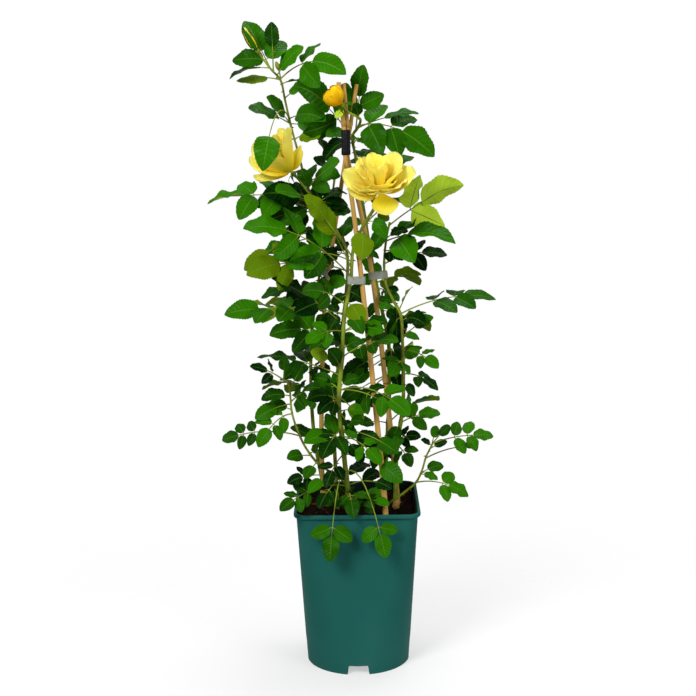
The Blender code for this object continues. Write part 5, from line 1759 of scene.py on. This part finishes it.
# More leaves on the main stems, in the same form as the rows of a branch.
EXTRA = {
    "stem_front": (
        (0.92, (45, -50, 645), 1, 34, 60, 12), (0.82, (-70, -85, 710), 1, 50, 50, 6, True),
        (0.60, (-30, -20, 485), 1, 44, 50, 4), (0.70, (10, -75, 525), 1, 42, 65, 6, True),
        (0.62, (40, -95, 520), 1, 36, 60, 6), (0.46, (50, -95, 410), 3, 34, 60, 8),
        (0.44, (10, -60, 380), 1, 30, 60, 4, True), (0.40, (-5, -60, 360), 1, 26, 70, 3),
        (0.33, (10, -75, 325), 1, 34, 60, 4), (0.35, (60, -85, 340), 1, 36, 60, 8),
        (0.79, (-60, -70, 700), 1, 59, 50, 10, True), (0.84, (35, -30, 615), 1, 37, 50, 4),
        (0.75, (-40, -25, 575), 1, 32, 60, 4), (0.72, (-35, -30, 550), 1, 26, 65, 2),
        (0.73, (15, -25, 550), 1, 29, 60, 3), (0.62, (45, -85, 530), 1, 34, 50, 8),
        (0.58, (-30, -30, 520), 1, 32, 55, 4), (0.57, (10, -50, 495), 3, 40, 60, 6),
        (0.51, (-65, -60, 485), 1, 29, 50, 6, True), (0.36, (0, -75, 360), 1, 27, 60, 3),
        (0.40, (15, -60, 395), 1, 30, 55, 4), (0.32, (35, -70, 350), 1, 39, 55, 6),
        (0.47, (5, -30, 440), 1, 29, 50, 3), (0.22, (-70, -95, 285), 1, 30, 50, 10),
        (0.43, (-55, -70, 395), 3, 29, 55, 6), (0.46, (-65, -30, 440), 3, 32, 50, 6),
        (0.29, (10, -60, 330), 1, 29, 60, 4), (0.11, (-23, -75, 258), 1, 24, 60, 8),
        (0.13, (-51, -80, 262), 1, 24, 60, 10), (0.10, (24, -92, 253), 1, 22, 65, 14),
        (0.13, (41, -60, 275), 1, 28, 55, 6), (0.12, (46, -85, 262), 1, 25, 60, 12),
        (0.17, (-7, -70, 278), 1, 27, 60, 5), (0.15, (15, -70, 270), 1, 24, 60, 4),
        (0.16, (-35, -60, 285), 1, 26, 60, 5)),
    "stem_left": (
        (0.64, (-5, 10, 680), 1, 35, 50, 6), (0.72, (-20, 15, 730), 3, 53, 45, 6),
        (0.67, (-10, 20, 705), 3, 47, 45, 6), (0.70, (-80, 25, 740), 1, 44, 40, 4),
        (0.67, (-130, -40, 710), 1, 57, 55, 6), (0.65, (-130, 5, 665), 3, 50, 45, 8),
        (0.59, (-5, 10, 660), 1, 38, 40, 4), (0.56, (-55, 10, 605), 3, 38, 45, 8),
        (0.51, (-40, 0, 590), 1, 32, 50, 4), (0.45, (-50, -10, 510), 3, 35, 50, 8),
        (0.42, (0, -15, 475), 1, 35, 55, 4), (0.81, (-49, 5, 787), 1, 44, 45, 6, True),
        (0.85, (-40, -5, 810), 1, 56, 50, 8), (0.67, (-9, 15, 688), 1, 42, 30, 4),
        (0.93, (-167, 0, 868), 1, 46, 20, 4, True), (0.62, (-160, -25, 599), 1, 44, 60, 12, True)),
    "stem_right": (
        (0.98, (25, -25, 625), 1, 40, 45, 5), (0.73, (60, 10, 480), 1, 51, 40, 5),
        (0.38, (50, -40, 340), 1, 34, 60, 4),
        (0.73, (35, -20, 540), 1, 32, 50, 4), (0.31, (20, -50, 325), 1, 40, 50, 4),
        (0.33, (95, -30, 350), 3, 25, 50, 4), (0.57, (95, -5, 475), 1, 27, 45, 3),
        (0.64, (95, 10, 490), 1, 28, 45, 3), (0.45, (85, 0, 370), 3, 30, 45, 6),
        (0.91, (70, -15, 610), 3, 29, 45, 5), (0.50, (86, -5, 406), 1, 30, 45, 4),
        (0.95, (78, -5, 651), 1, 44, 50, 4), (0.64, (114, -20, 527), 1, 32, 45, 4)),
    "stem_back": (
        (0.99, (-26, -28, 815), 1, 24, 78, 1, True),
        (0.50, (70, 30, 510), 1, 46, 50, 5), (0.55, (65, 20, 545), 1, 30, 50, 4),
        (0.40, (65, 20, 410), 1, 28, 50, 4), (0.43, (60, 15, 430), 1, 34, 60, 4),
        (0.41, (-20, 10, 430), 1, 48, 50, 5), (0.36, (0, 10, 390), 1, 34, 50, 4),
        (0.46, (10, 15, 455), 1, 30, 50, 4), (0.58, (-10, 15, 545), 1, 34, 50, 4),
        (0.25, (5, -10, 365), 1, 30, 45, 4), (0.30, (20, 0, 390), 1, 30, 50, 3),
        (0.69, (-15, 20, 655), 1, 35, 30, 6), (0.46, (25, 25, 470), 3, 36, 40, 6),
        (0.42, (70, 45, 435), 3, 36, 40, 6), (0.22, (25, 10, 290), 3, 36, 45, 6),
        (0.56, (10, 30, 605), 3, 39, 35, 6), (0.52, (65, 30, 560), 3, 36, 35, 6),
        (0.69, (45, 25, 685), 1, 38, 35, 6), (0.17, (-11, -5, 286), 1, 40, 50, 4),
        (0.20, (33, 0, 306), 1, 38, 50, 4), (0.14, (9, 10, 271), 1, 38, 55, 4),
        (0.52, (20, 20, 521), 1, 40, 40, 4), (0.36, (-22, 5, 396), 1, 36, 50, 4),
        (0.40, (-5, 0, 424), 1, 34, 50, 4), (0.88, (-40, 0, 788), 1, 36, 40, 4),
        (0.90, (94, 5, 819), 1, 52, 35, 6)),
    "stem_back_left": (
        (0.68, (-80, 20, 515), 3, 39, 40, 8), (0.64, (-100, 0, 545), 3, 41, 45, 8),
        (0.72, (-35, 25, 555), 1, 36, 40, 4), (0.91, (-55, 40, 710), 3, 51, 30, 6),
        (0.84, (-15, 35, 620), 3, 45, 35, 6), (0.46, (-40, 30, 435), 3, 36, 40, 6),
        (0.38, (-90, 30, 375), 3, 36, 40, 6), (0.25, (-40, 30, 315), 3, 37, 45, 6),
        (0.81, (-80, 30, 645), 3, 47, 35, 8)),
    "shoot_left": ((0.86, (-145, -80, 391), 1, 36, 55, 4),),
    "shoot_right": (
        (0.99, (140, 0, 360), 1, 24, 45, 2), (0.97, (95, -25, 345), 1, 19, 50, 1),
        (0.94, (135, -15, 340), 1, 21, 45, 1), (0.71, (120, -30, 285), 1, 22, 50, 2)),
}

FLOWERS = (
    (RoseBloom("bloom_right", (
        Whorl(1, 60, 42, 42, 0.5, 3.0, 1.5, tint=0.75), Whorl(1, 52, 30, 95, 0.5, tint=0.7),
        Whorl(1, 52, 36, 138, 0.5, tint=0.7), Whorl(1, 57, 66, 4, 0.45, tint=0.7, twist=25),
        Whorl(1, 55, 60, 172, 0.45, tint=0.75, twist=-30),
        Whorl(1, 47, 84, 196, 0.42, tint=0.7, twist=-35),
        Whorl(1, 44, 72, 230, 0.62, tint=0.6), Whorl(1, 38, 78, 272, 0.62, tint=0.6),
        Whorl(1, 46, 72, 318, 0.6, tint=0.6), Whorl(1, 34, 54, 248, 0.6, 5.0, tint=0.7),
        Whorl(1, 36, 56, 300, 0.6, 5.0, tint=0.6), Whorl(1, 44, 44, 345, 0.5, 4.0, tint=0.65),
        Whorl(1, 44, 40, 200, 0.5, 4.0, tint=0.65),
        Whorl(1, 56, 22, 172, 0.38, 4.0, 0.9, tint=0.65),
        Whorl(1, 54, 19, 235, 0.38, 4.0, 0.8, tint=0.6), Whorl(1, 54, 14, 112, 0.38, 3.0, 0.8),
        Whorl(1, 46, 16, 300, 0.36, 3.0, 0.8), Whorl(1, 46, 12, 20, 0.36, 2.0, 0.7),
        Whorl(1, 36, 142, 285, 0.58, 8.0, 1.5, 0.02, 0.2)), (16, 30), (8.0, -1.0, 7.0)),
     ("stem_front", 0)),
    (RoseBloom("bloom_left", (
        Whorl(1, 72, 44, 314, 0.2, 3.0, 1.0, tint=0.5), Whorl(1, 64, 30, 35, 0.36),
        Whorl(1, 40, 66, 338, 0.24, tint=0.5, twist=62),
        Whorl(1, 52, 63, 188, 0.2, tint=0.4, twist=-40),
        Whorl(1, 62, 34, 172, 0.45, tint=0.6, twist=-30), Whorl(1, 66, 24, 120, 0.45, tint=0.6),
        Whorl(1, 56, 42, 228, 0.42, tint=0.4), Whorl(1, 54, 34, 262, 0.34, 3.0, 1.0, tint=0.35),
        Whorl(1, 54, 30, 292, 0.3, 3.0, 0.9, tint=0.4), Whorl(1, 58, 17, 310, 0.34, 3.0, 0.9),
        Whorl(3, 54, 12, 20, 0.36, 3.0, 0.8, tint=0.3)), (14, 30)), ("stem_left", 1)),
    (RoseBloom("bud_orange", (
        Whorl(5, 27, 0, 30, 0.74, 0.5, 0.65, 0.016, 0.6, 1.0),
        Whorl(3, 25, 0, 75, 0.7, 0.5, 0.62, 0.01, 0.6, 1.0)), (14, 20), slot="orange_petal",
        finish=Petal("apricot_petals", pale=(1.0, 0.54, 0.01), warm=(0.9, 0.3, 0.0),
                     glow=0.3, spread=(1.0, 0.2, 0.1))), ("stem_back", 0)),
    (RoseBloom("bud_small", (
        Whorl(1, 33, 12, 315, 0.13, 2.0, 0.9, 0.0, 0.6, closing=1.2),), (15, 36),
        rim_width=0.3), ("stem_left", 0)),
)

TIES = {
    "tie_right": ("cane_right", "stem_right", 586.0),
    "tie_middle": ("cane_middle", "stem_front", 584.0),
    "tie_left": ("cane_left", "stem_back_left", 588.0),
}
TIE_TALL = 11.0
TIE_LOOSE = 1.3
PALE_TAPE = Tape("pale_tie_tape")
BLACK_TAPE = Tape("wound_black_tape", colour=(0.008, 0.008, 0.009), shade=(0.016, 0.016, 0.018),
                  rough=0.3)
BAND = TapeLoop("band_of_tape", "cane_band", "black_tape", BLACK_TAPE, 780.0, 36.0, 0.8, turns=4)


# The studio

@dataclass(frozen=True)
class Lamp:
    """A square soft light: its place, its width and its power."""

    name: str
    place: Point
    size: float
    power: float


@dataclass
class Studio:
    """The pale floor, the soft lights and the camera at the photograph's angle."""

    eye: Point = (0.0, -2.0, 0.843)
    pitch: float = 0.180
    roll: float = 0.009
    focal: float = 1375.4  # in pixels of a picture of 696
    picture: float = 696.0
    axis_x: float = 355.65  # the picture's column straight ahead
    sensor: float = 36.0
    room: float = 0.32  # strength of the light from all sides
    aim: Point = (0.0, 0.0, 0.5)
    lamps: tuple[Lamp, ...] = (Lamp("key", (-1.2, -1.9, 2.0), 0.9, 52.0),
                               Lamp("fill", (1.7, -1.5, 1.0), 1.2, 20.0),
                               Lamp("top", (0.3, 0.5, 2.4), 1.2, 26.0))
    floor_sides: int = 64

    def camera(self) -> None:
        """A camera whose lens, pitch and shift put the pot where the photograph has it."""
        data = bpy.data.cameras.new("camera")
        data.sensor_width = self.sensor
        data.lens = self.focal / self.picture * self.sensor
        data.shift_x = (self.picture / 2 - self.axis_x) / self.picture
        camera = put("camera", data)
        camera.location = self.eye
        camera.rotation_euler = (Matrix.Rotation(math.pi / 2 - self.pitch, 3, "X")
                                 @ Matrix.Rotation(-self.roll, 3, "Z")).to_euler()
        bpy.context.scene.camera = camera

    def light(self, lamp: Lamp) -> None:
        """A lamp that looks at the plant's middle."""
        data = bpy.data.lights.new(lamp.name, "AREA")
        data.size, data.energy = lamp.size, lamp.power
        x, y, z = np.subtract(self.aim, lamp.place)
        made = put(lamp.name, data)
        made.location = lamp.place
        made.rotation_euler = (math.atan2(math.hypot(x, y), -z), 0.0, math.atan2(x, -y) + math.pi)

    def floor(self) -> None:
        """A flat round floor."""
        finish = StudioFloor("studio_floor")
        mesh = bpy.data.meshes.new("floor")
        mesh.from_pydata(at_height(circle(self.floor_sides) * finish.reach, 0.0).tolist(), [],
                         [tuple(range(self.floor_sides))])
        mesh.materials.append(finish.material())
        put("floor", mesh)

    def walls(self) -> None:
        """White to the camera's eye, and a weaker light from all sides on the plant."""
        world = bpy.data.worlds.new("room")
        world.use_nodes = True
        tree = world.node_tree
        back = tree.nodes["Background"]
        back.inputs["Color"].default_value = (1.0, 1.0, 1.0, 1.0)
        seen = tree.nodes.new("ShaderNodeMapRange")
        seen.inputs["To Min"].default_value = self.room
        tree.links.new(tree.nodes.new("ShaderNodeLightPath").outputs["Is Camera Ray"],
                       seen.inputs["Value"])
        tree.links.new(seen.outputs[0], back.inputs["Strength"])
        bpy.context.scene.world = world
        bpy.context.scene.view_settings.view_transform = "Standard"

    def build(self) -> None:
        """Set up the room."""
        self.camera()
        self.floor()
        self.walls()
        for lamp in self.lamps:
            self.light(lamp)


def main() -> None:
    """Build the part's sub-assemblies in order and report each."""
    Studio().build()
    NurseryPot().dress()
    LOG.info("nursery_pot: %.0f mm tall", POT_HEIGHT)
    soil = PottingSoil()
    soil.dress()
    LOG.info("potting_soil: %d crumbs and chips", sum(grit.count for grit in soil.grit))
    rods: dict[str, Rod] = {}
    for name, (widths, route) in CANES.items():
        cane = BambooCane(name, widths, route)
        cane.dress()
        rods[name] = cane.line()[:2]
        LOG.info("%s: %d points", name, len(rods[name][0]))
    for seed, (name, branches) in enumerate(PLANT.items()):
        stem = LeafyStem(name, branches, seed, EXTRA.get(name, ()))
        stem.dress()
        rods[name] = branches[0].line()
        LOG.info("%s: %d leaflets", name, len(stem.blades))
    BAND.dress(rods["cane_middle"], rods["cane_right"])
    LOG.info("%s: %d turns", BAND.name, BAND.turns)
    for name, (first, second, height) in TIES.items():
        tie = TapeLoop("tape_" + name, name, "tie_tape", PALE_TAPE, height, TIE_TALL, TIE_LOOSE)
        tie.dress(rods[first], rods[second])
        LOG.info("%s: %d turns", tie.name, tie.turns)
    for bloom, (stem_name, number) in FLOWERS:
        bloom.dress(PLANT[stem_name][number].line()[0])
        LOG.info("%s: %d whorls", bloom.node, len(bloom.whorls))


if __name__ == "__main__":
    logging.basicConfig(level=logging.INFO, format="%(name)s: %(message)s")
    main()
